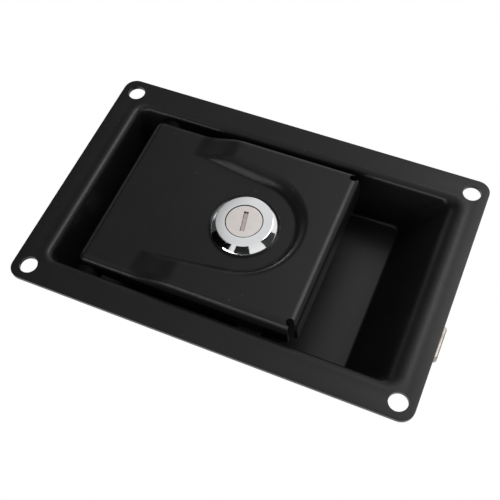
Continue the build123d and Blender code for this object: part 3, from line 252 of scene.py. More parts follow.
# %% Worn edge: how far a rounded-off normal turns from the true one, times broken patches
TURN_STARTS, TURN_FULL = 0.985, 0.86
PATCH_STARTS, PATCH_FULL = 0.42, 0.62
worn_edge, inside, outside = new_group(
    "worn edge", [("Radius", 0.4 * MM), ("Patches per metre", 400.0), ("Amount", 1.0)], ["Mask"]
)
rounded = node(worn_edge, "ShaderNodeBevel", samples=4)
true_normal = node(worn_edge, "ShaderNodeNewGeometry")
agree = node(worn_edge, "ShaderNodeVectorMath", operation="DOT_PRODUCT")
join(
    worn_edge,
    (inside.outputs["Radius"], rounded.inputs["Radius"]),
    (rounded.outputs["Normal"], agree.inputs[0]),
    (true_normal.outputs["Normal"], agree.inputs[1]),
)
turned_away = ranged(worn_edge, agree.outputs["Value"], TURN_STARTS, TURN_FULL)
spread = noise(worn_edge, inside.outputs["Patches per metre"], 3.0, 0.6)
broken = ranged(worn_edge, spread, PATCH_STARTS, PATCH_FULL)
product = calculate(worn_edge, "MULTIPLY", turned_away, broken)
amount = calculate(worn_edge, "MULTIPLY", product, inside.outputs["Amount"], use_clamp=True)
join(worn_edge, (amount, outside.inputs["Mask"]))
print("worn edge:", len(worn_edge.nodes), "nodes")

# %% Dust: small round specks, kept only in a few of the cells of a scattered pattern
dust, inside, outside = new_group(
    "dust", [("Cells per metre", 620.0), ("Speck size", 0.13), ("Share", 0.12)], ["Specks"]
)
place_in = node(dust, "ShaderNodeTexCoord")
cells = node(dust, "ShaderNodeTexVoronoi", feature="F1", distance="EUCLIDEAN")
pick = node(dust, "ShaderNodeSeparateColor")
join(
    dust,
    (place_in.outputs["Object"], cells.inputs["Vector"]),
    (inside.outputs["Cells per metre"], cells.inputs["Scale"]),
    (cells.outputs["Color"], pick.inputs[0]),
)
kept = calculate(dust, "LESS_THAN", pick.outputs[0], inside.outputs["Share"])
close = calculate(dust, "LESS_THAN", cells.outputs["Distance"], inside.outputs["Speck size"])
both = calculate(dust, "MULTIPLY", kept, close)
join(dust, (calculate(dust, "MULTIPLY", both, pick.outputs[1]), outside.inputs["Specks"]))
print("dust:", len(dust.nodes), "nodes")

# %% [markdown]
# ## One recipe for a coat or a plating
#
# A Principled shader carries each finish. Its base colour runs between two close colours over the
# mottle, to a third colour on worn edges, and to grey where a speck of dust lies. On small turned
# pieces it is also darkened in narrow gaps, as painted shade. Its roughness runs between two values
# over finer mottle, and its normal comes from the fine skin. Plain metal pieces get slightly rounded
# edges in the normal, since a machined edge is never quite sharp. What changes from finish to finish
# is only the numbers, so the recipe is one function.

# %% Finish recipe
DUST_GREY = (0.06, 0.06, 0.064)
# The colour below is painted shade, laid into narrow gaps.
GAP_SHADE = (0.035, 0.032, 0.03)
SLOW_CONTRAST, QUICK_CONTRAST, FINER = 2.4, 2.0, 7.0
# Occlusion levels at which the painted gap shade is full and at which it has faded out.
GAP_SHADE_FULL_AT, GAP_SHADE_NONE_AT = 0.55, 0.9


def finish(name, colours, rough, metallic, skin, patches=60.0, worn=(0.0, 0.4 * MM), gloss=0.5,
           rounding=0.0, dusty=0.0, gap_shade_reach=0.0):
    """A material.

    colours is one patch, the other patch and the worn edge; rough is the lowest and the highest
    roughness; skin is grain, wave, the wave's share and the bump's height; worn is its amount and
    the edge's radius; rounding and the last argument are distances, and dusty is the share of dusty
    cells. The last argument is how far the painted shade in narrow gaps reaches; 0 paints none.
    """
    material = bpy.data.materials.new(name)
    material.use_nodes = True
    tree = material.node_tree
    shader = tree.nodes["Principled BSDF"]
    shader.inputs["Metallic"].default_value = metallic
    shader.inputs["Specular IOR Level"].default_value = gloss
    slow = use(tree, mottle, "Patches", Patches_per_metre=patches, Contrast=SLOW_CONTRAST)
    quick = use(tree, mottle, "Patches", Patches_per_metre=patches * FINER, Contrast=QUICK_CONTRAST)
    edge = use(tree, worn_edge, "Mask", Radius=worn[1], Amount=worn[0])
    specks = use(tree, dust, "Specks", Share=dusty)
    colour = blended(tree, slow, colours[0], colours[1])
    colour = blended(tree, edge, colour, colours[2])
    colour = blended(tree, specks, colour, DUST_GREY)
    # Painted shade: where ambient occlusion finds other surfaces close by, the colour is darkened.
    if gap_shade_reach:
        gap_occlusion = node(tree, "ShaderNodeAmbientOcclusion", samples=8, Distance=gap_shade_reach)
        colour = blended(tree, ranged(tree, gap_occlusion.outputs["AO"], GAP_SHADE_FULL_AT, GAP_SHADE_NONE_AT), GAP_SHADE, colour)
    polish = ranged(tree, quick, 0.0, 1.0, rough[0], rough[1])
    grain, wave, wave_share, bump_height = skin
    height = use(
        tree, fine_skin, "Height", Grain_per_metre=grain, Wave_per_metre=wave, Wave_share=wave_share
    )
    bump = node(tree, "ShaderNodeBump", Strength=1.0, Distance=bump_height)
    if rounding:
        soft = node(tree, "ShaderNodeBevel", samples=6, Radius=rounding)
        join(tree, (soft.outputs["Normal"], bump.inputs["Normal"]))
    join(
        tree,
        (colour, shader.inputs["Base Color"]),
        (polish, shader.inputs["Roughness"]),
        (height, bump.inputs["Height"]),
        (bump.outputs["Normal"], shader.inputs["Normal"]),
    )
    return material


print("finish recipe ready")

# %% [markdown]
# ## The finishes of this latch
#
# The tray and the paddle have a satin black coat, laid on in an electric bath and then baked, with
# rubbed edges and a little dust. Zinc plate is mottled and a little blue, bare steel is warmer and
# darker, and drawn spring wire is fine grained. The lock has a bright chrome body, a satin plug and
# a dull shutter. Two close colours in each finish keep a large face from looking flat.

# %% Coats
black_coat = finish(
    "black_ecoat", [(0.0075, 0.0072, 0.0078), (0.0105, 0.0102, 0.0110), (0.024, 0.023, 0.024)],
    rough=(0.30, 0.38), metallic=0.0, skin=(2600.0, 420.0, 0.35, 4 * MICRON), patches=45.0,
    worn=(0.5, 0.3 * MM), gloss=0.24, dusty=0.05,
)
black_nylon = finish(
    "black_nylon", [(0.002, 0.002, 0.002), (0.003, 0.003, 0.003), (0.006, 0.006, 0.006)],
    rough=(0.55, 0.68), metallic=0.0, skin=(2500.0, 300.0, 0.5, 6 * MICRON), patches=150.0,
    worn=(0.3, 0.3 * MM), gloss=0.04, rounding=0.2 * MM,
)
print("coats:", black_coat.name, black_nylon.name)

# %% Working metals
zinc_plate = finish(
    "zinc_steel", [(0.52, 0.53, 0.55), (0.62, 0.62, 0.61), (0.7, 0.7, 0.7)],
    rough=(0.26, 0.42), metallic=1.0, skin=(3000.0, 500.0, 0.3, 4 * MICRON), patches=90.0,
    worn=(0.6, 0.3 * MM), rounding=0.2 * MM,
)
bolt_steel = finish(
    "bolt_steel", [(0.27, 0.25, 0.215), (0.34, 0.32, 0.285), (0.45, 0.44, 0.42)],
    rough=(0.28, 0.45), metallic=1.0, skin=(2400.0, 380.0, 0.4, 8 * MICRON), patches=70.0,
    worn=(0.8, 0.4 * MM), rounding=0.2 * MM,
)
spring_steel = finish(
    "spring_steel", [(0.30, 0.30, 0.31), (0.40, 0.40, 0.41), (0.55, 0.55, 0.55)],
    rough=(0.24, 0.36), metallic=1.0, skin=(4000.0, 700.0, 0.3, 3 * MICRON), patches=200.0,
)
print("working metals:", zinc_plate.name, bolt_steel.name, spring_steel.name)

# %% Metals of the lock
bright_chrome = finish(
    "bright_chrome", [(0.75, 0.76, 0.77), (0.79, 0.80, 0.81), (0.8, 0.8, 0.8)],
    rough=(0.05, 0.09), metallic=1.0, skin=(1500.0, 200.0, 0.6, 1.2 * MICRON), patches=120.0,
    worn=(0.0, 0.3 * MM),
)
# The plug's last argument paints shade into its narrow gaps, such as the keyway's walls.
satin_nickel = finish(
    "satin_nickel", [(0.75, 0.705, 0.68), (0.81, 0.765, 0.735), (0.86, 0.82, 0.80)],
    rough=(0.28, 0.38), metallic=1.0, skin=(5200.0, 700.0, 0.35, 2.5 * MICRON), patches=300.0,
    worn=(0.0, 0.2 * MM), gap_shade_reach=0.6 * MM,
)
# The shutter's last argument paints shade along its recessed edges.
shutter_steel = finish(
    "shutter_steel", [(0.48, 0.40, 0.40), (0.57, 0.485, 0.48), (0.68, 0.62, 0.62)],
    rough=(0.32, 0.44), metallic=1.0, skin=(5200.0, 900.0, 0.4, 3 * MICRON), patches=500.0,
    worn=(0.0, 0.2 * MM), gap_shade_reach=0.6 * MM,
)
brass = finish(
    "brass", [(0.70, 0.50, 0.20), (0.78, 0.58, 0.27), (0.85, 0.68, 0.38)],
    rough=(0.25, 0.38), metallic=1.0, skin=(4200.0, 600.0, 0.3, 3 * MICRON), patches=200.0,
)
FINISHES = {
    "black_ecoat": black_coat, "zinc_steel": zinc_plate, "bolt_steel": bolt_steel,
    "spring_steel": spring_steel, "bright_chrome": bright_chrome, "satin_nickel": satin_nickel,
    "shutter_steel": shutter_steel, "brass": brass, "black_nylon": black_nylon,
}
print("finishes:", ", ".join(FINISHES))

# %% [markdown]
# ## Dressing the frame's own pieces
#
# Each piece of the frame already names the finish it takes. Its loose slot is given the detailed
# material of that name. Its mesh is left as it is.

# %% Give every frame piece its finish
for part in frame["record"]["subparts"]:
    carried = frame["nodes"][part["node"]]
    for place_of in carried.material_slots:
        place_of.material = FINISHES[part["material_slot"]]

# %% [markdown]
# ## Pressed sheet
#
# The tray and the paddle are each pressed from one sheet of steel, 1.5 mm thick. Only the outer
# face is worked out as a surface. The Solidify modifier then gives the sheet its thickness, and
# holes are cut with the Boolean modifier, as a punch would. At the end the modifiers are applied,
# and edges sharper than 35 degrees are marked sharp, so that bends stay soft and cut edges crisp.

# %% Sheet helpers
SHEET = 1.5 * MM


def cylinder_points(radius, low, high, count=64):
    """Two rings of points round Z, low and high, and the faces of a closed drum between them."""
    turn = np.arange(count) * 2 * math.pi / count
    ring = np.stack([radius * np.cos(turn), radius * np.sin(turn)], axis=1)
    points = np.concatenate([np.column_stack([ring, np.full(count, level)]) for level in (low, high)])
    faces = grid_faces(2, count, wrap=True).tolist()
    faces.append(list(range(count))[::-1])
    faces.append([count + number for number in range(count)])
    return points, faces


def round_cutter(name, middle, radius, length, axis="Z", count=64):
    """A drum along one axis, used only to cut with."""
    points, faces = cylinder_points(radius, -length / 2, length / 2, count)
    if axis == "Y":
        points = points[:, [0, 2, 1]] * np.array([1.0, -1.0, 1.0])
    return new_mesh(name, points + np.asarray(middle, float), faces, smooth=False)


def box_cutter(name, low, high):
    """A box from its lowest to its highest corner, used only to cut with."""
    low, high = np.asarray(low, float), np.asarray(high, float)
    unit = np.array([[x, y, z] for z in (0, 1) for y in (0, 1) for x in (0, 1)], float)
    faces = [(0, 2, 3, 1), (4, 5, 7, 6), (0, 1, 5, 4), (2, 6, 7, 3), (0, 4, 6, 2), (1, 3, 7, 5)]
    return new_mesh(name, low + unit * (high - low), faces, smooth=False)


def cut_out(piece, cutters):
    """Adds one Boolean difference for each cutter."""
    for cutter in cutters:
        punch = piece.modifiers.new("cut by " + cutter.name, "BOOLEAN")
        punch.operation = "DIFFERENCE"
        punch.solver = "EXACT"
        punch.object = cutter


def settle(piece, cutters=(), sharp=35.0):
    """Applies a piece's modifiers, removes what cut it and marks its sharp edges."""
    bpy.context.view_layer.update()
    depsgraph = bpy.context.evaluated_depsgraph_get()
    made = bpy.data.meshes.new_from_object(piece.evaluated_get(depsgraph))
    piece.modifiers.clear()
    piece.data = made
    made.polygons.foreach_set("use_smooth", [True] * len(made.polygons))
    made.set_sharp_from_angle(angle=math.radians(sharp))
    for cutter in cutters:
        bpy.data.objects.remove(cutter)


def thicken(piece, thickness, side):
    """Gives a surface its thickness: side -1 puts it behind the faces, 1 in front."""
    wall = piece.modifiers.new("sheet", "SOLIDIFY")
    wall.thickness = thickness
    wall.offset = side
    wall.use_even_offset = True


def eased(value):
    """3 v squared minus 2 v cubed: 0 to 1 with level ends, for v held between 0 and 1."""
    held = np.clip(value, 0.0, 1.0)
    return held * held * (3.0 - 2.0 * held)


print("sheet helpers ready")

# %% [markdown]
# ## The tray
#
# The tray is a flange with a deep pocket. Its shape is a profile carried round a closed path: the
# flange's outer edge, the dish that a press leaves beside a bend, the bend itself, the wall, the
# bend into the floor, and the floor. The wall leans only at the finger end, so the profile is
# worked out for both walls, and the corners blend one into the other.

# %% Tray profile
def tray_profile(lean, depth, rim, foot, steps):
    """Inward offset and height at each station: a rim arc, a straight wall and a foot arc.

    Each is tangent to the next, and the wall leans by that angle from upright. An arc between two
    directions that turn by t takes radius times tan(t / 2) of each straight.
    """
    turn = math.pi / 2 - lean
    rim_reach = rim * math.tan(turn / 2)
    foot_reach = foot * math.tan(turn / 2)
    angle = np.linspace(0, turn, steps)
    rim_offset = -rim_reach + rim * np.sin(angle)
    rim_height = -rim + rim * np.cos(angle)
    bottom_offset = depth * math.tan(lean)
    foot_offset = bottom_offset + foot_reach - foot * np.sin(turn - angle)
    foot_height = -depth + foot - foot * np.cos(turn - angle)
    along = np.linspace(0, 1, 9)[1:-1]
    wall_offset = rim_offset[-1] + along * (foot_offset[0] - rim_offset[-1])
    wall_height = rim_height[-1] + along * (foot_height[0] - rim_height[-1])
    offset = np.concatenate([rim_offset, wall_offset, foot_offset])
    height = np.concatenate([rim_height, wall_height, foot_height])
    return offset, height


TRAY_DEPTH = 26.0 * MM
FACE = 1.5 * MM
FINGER_LEAN = math.atan2(16.4, 26.0)
RIM_BEND, FINGER_RIM_BEND, FOOT_BEND, BEND_STEPS = 2.6 * MM, 7.0 * MM, 1.5 * MM, 9
upright_offset, upright_height = tray_profile(0.0, TRAY_DEPTH, RIM_BEND, FOOT_BEND, BEND_STEPS)
leaning_offset, leaning_height = tray_profile(
    FINGER_LEAN, TRAY_DEPTH, FINGER_RIM_BEND, FOOT_BEND, BEND_STEPS
)
print("profile stations:", len(upright_offset), "lean reaches", round(leaning_offset[-1] / MM, 2), "mm in")

# %% Tray path: four corners and four sides, as angles and blends round the pocket
CORNER_STEPS = 10
SIDE_STEPS = 24
quarter = np.linspace(0, math.pi / 2, CORNER_STEPS)
along_side = np.linspace(0, 1, SIDE_STEPS + 2)[1:-1]


def ring_xy(left, right, half, radius):
    """A rounded rectangle's points: corner, side, corner and so on, anticlockwise from the near right.

    left and right are its ends, half is half its width, and radius is that of its corners.
    """
    centres = [(right - radius, -half + radius, -math.pi / 2), (right - radius, half - radius, 0.0),
               (left + radius, half - radius, math.pi / 2), (left + radius, -half + radius, math.pi)]
    arcs = [np.stack([x + radius * np.cos(start + quarter), y + radius * np.sin(start + quarter)], axis=1)
            for x, y, start in centres]
    runs = []
    for number, arc in enumerate(arcs):
        end, begin = arc[-1], arcs[(number + 1) % 4][0]
        runs.append(arc)
        runs.append(end + along_side[:, None] * (begin - end))
    return np.concatenate(runs)


def finger_end_share():
    """Each ring point's share of the leaning wall: cosine squared through the two corners beside it."""
    finger_end = [np.cos(-math.pi / 2 + quarter) ** 2, np.ones(SIDE_STEPS), np.cos(quarter) ** 2]
    rest = np.zeros(2 * CORNER_STEPS + 3 * SIDE_STEPS)
    return np.concatenate(finger_end + [rest])


print("ring of", len(finger_end_share()), "points")

# %% Tray surface
FLANGE_END, FLANGE_SIDE, FLANGE_CORNER = 70 * MM, 45.5 * MM, 4.5 * MM
DISH, CURL = 0.05 * MM, 0.04 * MM


def tray_rings():
    """All the tray's rings from the flange's outer edge to the middle of the floor."""
    left, right, half, corner = -59.5 * MM, 60.0 * MM, 34.6 * MM, 3.0 * MM
    share = finger_end_share()
    rings = []
    outer = ring_xy(-FLANGE_END, FLANGE_END, FLANGE_SIDE, FLANGE_CORNER)
    first = ring_xy(left + upright_offset[0], right - leaning_offset[0], half - upright_offset[0],
                    corner - upright_offset[0])
    for part in np.linspace(0, 1, 13)[:-1]:
        flat = outer + part * (first - outer)
        dish = -DISH * eased((part - 0.35) / 0.4) * (1 - eased((part - 0.75) / 0.25))
        curl = -CURL * (1 - eased(part / 0.12))
        rings.append(np.column_stack([flat, np.full(len(flat), FACE + dish + curl)]))
    for number in range(len(upright_offset)):
        inward = upright_offset[number]
        plan = ring_xy(left + inward, right - leaning_offset[number], half - inward, corner - inward)
        height = (1 - share) * upright_height[number] + share * leaning_height[number]
        rings.append(np.column_stack([plan, FACE + height]))
    floor_ring = rings[-1]
    middle = np.array([floor_ring[:, 0].mean(), 0.0, floor_ring[0, 2]])
    for part in np.linspace(0, 1, 12)[1:-1]:
        rings.append(floor_ring + part * (middle - floor_ring))
    return np.array(rings), middle


tray_points, tray_middle = tray_rings()
ring_count, ring_size = tray_points.shape[:2]
tray_faces = grid_faces(ring_count, ring_size, wrap=True).tolist()
last_ring = (ring_count - 1) * ring_size
centre = ring_count * ring_size
tray_faces += [(last_ring + n, last_ring + (n + 1) % ring_size, centre) for n in range(ring_size)]
tray = new_mesh("pressed_tray", np.vstack([tray_points.reshape(-1, 3), tray_middle]), tray_faces)
print("tray rings:", ring_count, "of", ring_size)

# %% Punch the tray: four screw holes and the rocker's slot
HOLE_X, HOLE_Y, HOLE_RADIUS = 64.35 * MM, 39.95 * MM, 3.1 * MM
thicken(tray, SHEET, -1.0)
punches = [
    round_cutter("screw hole", (x * HOLE_X, y * HOLE_Y, 0), HOLE_RADIUS, 10 * MM)
    for x in (-1, 1) for y in (-1, 1)
]
slot_low = (-49.5 * MM, -6.5 * MM, -30 * MM)
slot_high = (-35.9 * MM, 6.5 * MM, -20 * MM)
punches.append(box_cutter("rocker slot", slot_low, slot_high))
cut_out(tray, punches)
settle(tray, punches)
tray.data.materials.append(black_coat)
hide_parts("mounting_pan")
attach(tray, "pan")
print("tray faces:", len(tray.data.polygons))

# %% [markdown]
# ## The paddle
#
# The paddle is one pressing too. Its top rises by a soft joggle, and a horseshoe pocket keeps the
# metal round the lock at the lower level. Its four edges roll over into skirts: a lip at the pull
# edge, a low heel at the back, and two sides that end in round ears on the hinge pin.
#
# The top is a height worked out at every point. The rolled edges are a second profile that is
# taken off that height, and it turns round each corner like a quarter of a bowl.

# %% Height of the paddle's top
LOW = 1.5 * MM
RAISE = 3.4 * MM
LOCK_X = -2.6 * MM
PIN_X, PIN_Z = -47.0 * MM, -5.5 * MM
JOGGLE_START, JOGGLE_LENGTH = -32.5 * MM, 17.0 * MM
WALL_FOOT, CREST = 0.5 * MM, 2.6 * MM
TONGUE = 17.4 * MM
WALL_RISE = 1 / math.tan(math.radians(33.0))
SPREAD = math.radians(7.5)


def soft_least(a, b, reach):
    """The smaller of two values, less reach times the square of how nearly equal they are, over four."""
    near = np.clip(1 - np.abs(a - b) / np.maximum(reach, 1e-9), 0, None)
    return np.minimum(a, b) - near ** 2 * reach / 4


def soft_most(a, b, reach):
    """The larger of two values, rounded in the same way."""
    return -soft_least(-a, -b, reach)


def out_from_tongue(x, y):
    """Distance outwards from the horseshoe's foot.

    The foot is a circle round the lock, and two lines that spread to the left.
    """
    dx, dy = x - LOCK_X, np.abs(y)
    ring = np.hypot(dx, dy) - TONGUE
    line = dx * math.sin(SPREAD) + dy * math.cos(SPREAD) - TONGUE
    beyond = dx * math.cos(SPREAD) - dy * math.sin(SPREAD) > 0
    return np.where(beyond, ring, line)


def paddle_top(x, y):
    """The low level, plus the softer least of the joggle's rise and the horseshoe wall's rise."""
    joggle = RAISE * eased((x - JOGGLE_START) / JOGGLE_LENGTH)
    wall = soft_most(out_from_tongue(x, y) * WALL_RISE, 0 * x, WALL_FOOT)
    reach = CREST * np.clip(joggle / RAISE, 0.02, 1)
    rise = soft_least(joggle + reach * 0.12, wall, reach)
    return LOW + np.clip(rise, 0, None)


print("height at the lock", paddle_top(np.array([LOCK_X]), np.array([0.0])) / MM,
      "and at the pull edge", paddle_top(np.array([0.024]), np.array([0.0])) / MM)

# %% Stations along and across the paddle
BACK, PULL, HALF = -51.0 * MM, 28.0 * MM, 31.6 * MM
EDGE = 2.7 * MM


def stations(low, high, flat_count, skirt_count, roll_count=9):
    """Flat positions from low to high, and how far each station goes over an edge.

    From 0 to 1 the sheet rolls over, and from 1 to 2 it falls straight down.
    """
    flat = np.linspace(low + EDGE, high - EDGE, flat_count)
    over = np.concatenate([np.linspace(0, 1, roll_count)[1:], 1 + np.linspace(0, 1, skirt_count + 1)[1:]])
    position = np.concatenate([np.full(len(over), flat[0]), flat, np.full(len(over), flat[-1])])
    beyond = np.concatenate([-over[::-1], np.zeros(flat_count), over])
    return position, beyond


along_place, along_over = stations(BACK, PULL, 190, 6)
across_place, across_over = stations(-HALF, HALF, 150, 6)
print("stations along", len(along_place), "across", len(across_place))

# %% Paddle surface
def skirt_bottom(x, toward_side):
    """Lowest height of the skirt: the ear's half circle, a straight edge and the high heel."""
    ear, heel = 4.0 * MM, -1.6 * MM
    inside_ear = np.clip(ear ** 2 - (x - PIN_X) ** 2, 0, None)
    side = PIN_Z - np.sqrt(inside_ear) * (x < PIN_X + ear)
    back = x < BACK + EDGE + 0.01 * MM
    return np.where(back, heel + (side - heel) * eased((toward_side - 0.55) / 0.3), side)


def paddle_surface():
    """Each point: a flat place, pushed over the edge by the larger of its two overshoots.

    The direction of the push turns with the two overshoots' ratio, so a corner is a quarter of a bowl.
    """
    x0, y0 = np.meshgrid(along_place, across_place, indexing="ij")
    ox, oy = np.meshgrid(along_over, across_over, indexing="ij")
    ax, ay = np.abs(ox), np.abs(oy)
    over = np.maximum(ax, ay)
    small = np.minimum(ax, ay) / np.maximum(over, 1e-9)
    turn = np.where(ax >= ay, small, 2 - small) * math.pi / 4
    rolled = np.clip(over, 0, 1) * math.pi / 2
    push = EDGE * np.sin(rolled)
    x = x0 + np.sign(ox) * push * np.cos(turn) * (over > 0)
    y = y0 + np.sign(oy) * push * np.sin(turn) * (over > 0)
    top = paddle_top(x, y)
    edge_height = top - EDGE * (1 - np.cos(rolled))
    down = np.clip(over - 1, 0, 1)
    bottom = skirt_bottom(x, np.sin(turn))
    z = edge_height + down * (bottom - edge_height)
    return np.stack([x, y, z], axis=-1)


paddle_points = paddle_surface()
paddle_faces = grid_faces(*paddle_points.shape[:2])[:, ::-1]
paddle = new_mesh("pressed_paddle", paddle_points.reshape(-1, 3), paddle_faces)
print("paddle faces:", len(paddle.data.polygons))

# %% Cut the paddle: corner reliefs, lock hole and pin bore
RELIEF_INSET, RELIEF_RADIUS = 2.4 * MM, 1.3 * MM
LOCK_HOLE, PIN_BORE = 9.4 * MM, 2.56 * MM
thicken(paddle, SHEET, -1.0)
punches = []
for side in (-1, 1):
    relief_x, relief_y = PULL - RELIEF_INSET, side * (HALF - RELIEF_INSET)
    low_y, high_y = sorted((relief_y, relief_y + side * 5 * MM))
    low, high = (relief_x, low_y, -20 * MM), (relief_x + 6 * MM, high_y, 8 * MM)
    punches.append(box_cutter("corner relief", low, high))
    punches.append(round_cutter("relief round", (relief_x, relief_y, 0), RELIEF_RADIUS, 40 * MM, count=40))
punches.append(round_cutter("lock hole", (LOCK_X, 0, 0), LOCK_HOLE, 20 * MM))
punches.append(round_cutter("pin bore", (PIN_X, 0, PIN_Z), PIN_BORE, 80 * MM, axis="Y"))
cut_out(paddle, punches)
settle(paddle, punches)
paddle.data.materials.append(black_coat)
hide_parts("paddle")
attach(paddle, "paddle")
print("paddle settled:", len(paddle.data.polygons), "faces")

# %% [markdown]
# ## The lock's body
#
# The lock's body is a zinc casting, turned, threaded for its nut and then chromed. Its collar has a
# flat ring round the plug, a polished and slightly bowed cone, and a band. It is a profile turned
# round the lock's centre, and on the barrel the radius also falls and rises along a screw line. Two flats,
# where the width is held to 16.4 mm, stop the lock from turning in the paddle.

# %% Lock body profile
def rounded_profile(corners, steps=5):
    """A line through corners given as (radius, height, rounding), each rounding being a quadratic curve."""
    corners = np.array(corners, float) * MM
    places = corners[:, :2]
    runs = [places[:1]]
    t = np.linspace(0, 1, steps)[:, None]
    for number in range(1, len(corners) - 1):
        before, at, after = places[number - 1], places[number], places[number + 1]
        reach = corners[number, 2]
        start = at + (before - at) / max(np.linalg.norm(before - at), 1e-9) * reach
        stop = at + (after - at) / max(np.linalg.norm(after - at), 1e-9) * reach
        runs.append((1 - t) ** 2 * start + 2 * t * (1 - t) * at + t ** 2 * stop)
    runs.append(places[-1:])
    return np.concatenate(runs)


def turned(profile, middle, sides=144):
    """A profile of (radius, height) turned round an upright axis, as a grid of points."""
    turn = np.arange(sides) * 2 * math.pi / sides
    radius, height = profile[:, 0][:, None], profile[:, 1][:, None]
    x = radius * np.cos(turn) + middle[0]
    y = radius * np.sin(turn) + middle[1]
    return np.stack([x, y, np.broadcast_to(height, x.shape)], axis=-1)


collar = rounded_profile([
    (9.25, 1.5, 0), (11.85, 1.5, 0.12), (12.0, 1.62, 0.05), (12.0, 2.6, 0.2),
    (11.15, 3.75, 1.6), (9.72, 4.7, 0.20), (6.5, 4.7, 0.0), (6.5, 3.4, 0.0),
])
collar_grid = turned(collar, (LOCK_X, 0.0), 160)
print("collar stations:", len(collar))

# %% Threaded barrel
THREAD_PITCH, THREAD_DEPTH = 1.0 * MM, 0.5 * MM
BARREL_LOW, BARREL_RADIUS, BARREL_HALF_FLAT = -15.0 * MM, 9.3 * MM, 8.2 * MM
BARREL_SIDES = 128


def barrel_grid(low, high, radius, depth, rows, sides):
    """Radius falls by the thread's depth along a screw line.

    The fall is a soft zigzag of height over pitch, less turn over a full turn.
    """
    height = np.linspace(low, high, rows)[:, None]
    turn = (np.arange(sides) * 2 * math.pi / sides)[None, :]
    phase = height / THREAD_PITCH - turn / (2 * math.pi)
    zigzag = np.abs((phase % 1.0) * 2 - 1)
    fade = eased((height - low) / (0.8 * MM)) * eased((high - height) / (0.8 * MM))
    across = radius - depth * eased(zigzag) * fade
    x = across * np.cos(turn)
    y = np.clip(across * np.sin(turn), -BARREL_HALF_FLAT, BARREL_HALF_FLAT)
    return np.stack([x + LOCK_X, y, np.broadcast_to(height, x.shape)], axis=-1)


barrel = barrel_grid(BARREL_LOW, FACE, BARREL_RADIUS, THREAD_DEPTH, 150, BARREL_SIDES)
print("barrel grid:", barrel.shape)

# %% Lock body mesh
foot_ring = turned(np.array([[5.06 * MM, BARREL_LOW]]), (LOCK_X, 0.0), BARREL_SIDES)
bore_profile = rounded_profile([(5.06, -15.0, 0), (5.06, -12.5, 0), (6.45, -12.5, 0), (6.45, 3.4, 0)])
bore = turned(bore_profile, (LOCK_X, 0.0), BARREL_SIDES)
barrel_skin = np.concatenate([bore[::-1], foot_ring, barrel])
barrel_faces = grid_faces(*barrel_skin.shape[:2], wrap=True)
collar_faces = grid_faces(*collar_grid.shape[:2], wrap=True) + barrel_skin.shape[0] * barrel_skin.shape[1]
lock_points = np.concatenate([barrel_skin.reshape(-1, 3), collar_grid.reshape(-1, 3)])
lock_body = new_mesh("lock_body_turned", lock_points, np.concatenate([barrel_faces, collar_faces]).tolist())
lock_body.data.materials.append(bright_chrome)
lock_body.data.set_sharp_from_angle(angle=math.radians(40))
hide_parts("lock_body")
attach(lock_body, "paddle")
print("lock body faces:", len(lock_body.data.polygons))

# %% [markdown]
# ## Springs
#
# A spring is a wire along a coil. The wire's round section is carried along a line of points, with
# one side of it always turned to the coil's own axis. Two small torsion springs sit on the hinge
# pin and press the paddle down: their coils twist between the tray and the paddle. A compression
# spring pushes the bolt out. In the latch it shortens as the bolt is drawn back; here it is built
# at one length and rides with the tray.

# %% Wire along a line
def wire(name, line, axis, radius, sides=14):
    """A tube: at each point of the line, a circle across its direction, measured from the given axis."""
    line = np.asarray(line, float)
    ahead = np.gradient(line, axis=0)
    ahead /= np.linalg.norm(ahead, axis=1, keepdims=True)
    axis = np.asarray(axis, float)
    first = axis - (ahead @ axis)[:, None] * ahead
    first /= np.linalg.norm(first, axis=1, keepdims=True)
    second = np.cross(ahead, first)
    turn = np.arange(sides) * 2 * math.pi / sides
    rings = (line[:, None, :] + radius * (np.cos(turn)[None, :, None] * first[:, None, :]
                                          + np.sin(turn)[None, :, None] * second[:, None, :]))
    count = len(line)
    faces = grid_faces(count, sides, wrap=True).tolist()
    faces.append(list(range(sides))[::-1])
    faces.append([(count - 1) * sides + number for number in range(sides)])
    made = new_mesh(name, rings.reshape(-1, 3), faces)
    made.data.set_sharp_from_angle(angle=math.radians(50))
    made.data.materials.append(spring_steel)
    return made


def straight_run(start, stop, steps):
    """A straight run between two points, divided evenly."""
    start, stop = np.asarray(start, float), np.asarray(stop, float)
    t = np.linspace(0, 1, steps)[:, None]
    return start + t * (stop - start)


print("wire helper ready")

# %% Return springs on the hinge pin
COIL, COIL_START, COIL_PITCH, COIL_TURNS = 3.9 * MM, 8.0 * MM, 1.35 * MM, 4.25


def return_spring_line():
    """A leg under the paddle, the coil round the pin, and a leg down to the floor."""
    turn = np.linspace(0, COIL_TURNS * 2 * math.pi, 200)
    x = PIN_X - COIL * np.sin(turn)
    y = COIL_START + COIL_PITCH * turn / (2 * math.pi)
    z = PIN_Z + COIL * np.cos(turn)
    coil = np.stack([x, y, z], axis=1)
    upper = straight_run((PIN_X + 15 * MM, COIL_START, -0.95 * MM), coil[0], 12)[:-1]
    lower = straight_run(coil[-1], (coil[-1][0], coil[-1][1], -24.0 * MM), 16)[1:]
    return np.concatenate([upper, coil, lower])


spring_line = return_spring_line()
for side, label in ((1, "return_spring_left"), (-1, "return_spring_right")):
    spring = wire(label, spring_line * np.array([1, side, 1]), (0, side, 0), 0.6 * MM)
    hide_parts("paddle_return_springs")
    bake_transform(spring)
print("return springs: 2, points along each", len(spring_line))

# %% Bolt spring
CLOSED_TURNS, CLOSED_ADVANCE = 1.6, 0.34


def bolt_spring_line(start, stop, turns, height, mean):
    """A coil along X whose first and last turns are closed: its advance eases in and out."""
    turn = np.linspace(0, turns, 420)
    open_share = eased(turn / CLOSED_TURNS) * eased((turns - turn) / CLOSED_TURNS)
    advance = np.cumsum(CLOSED_ADVANCE + open_share)
    advance = (advance - advance[0]) / (advance[-1] - advance[0])
    x = start + (stop - start) * advance
    angle = turn * 2 * math.pi
    return np.stack([x, mean * np.cos(angle), height + mean * np.sin(angle)], axis=1)


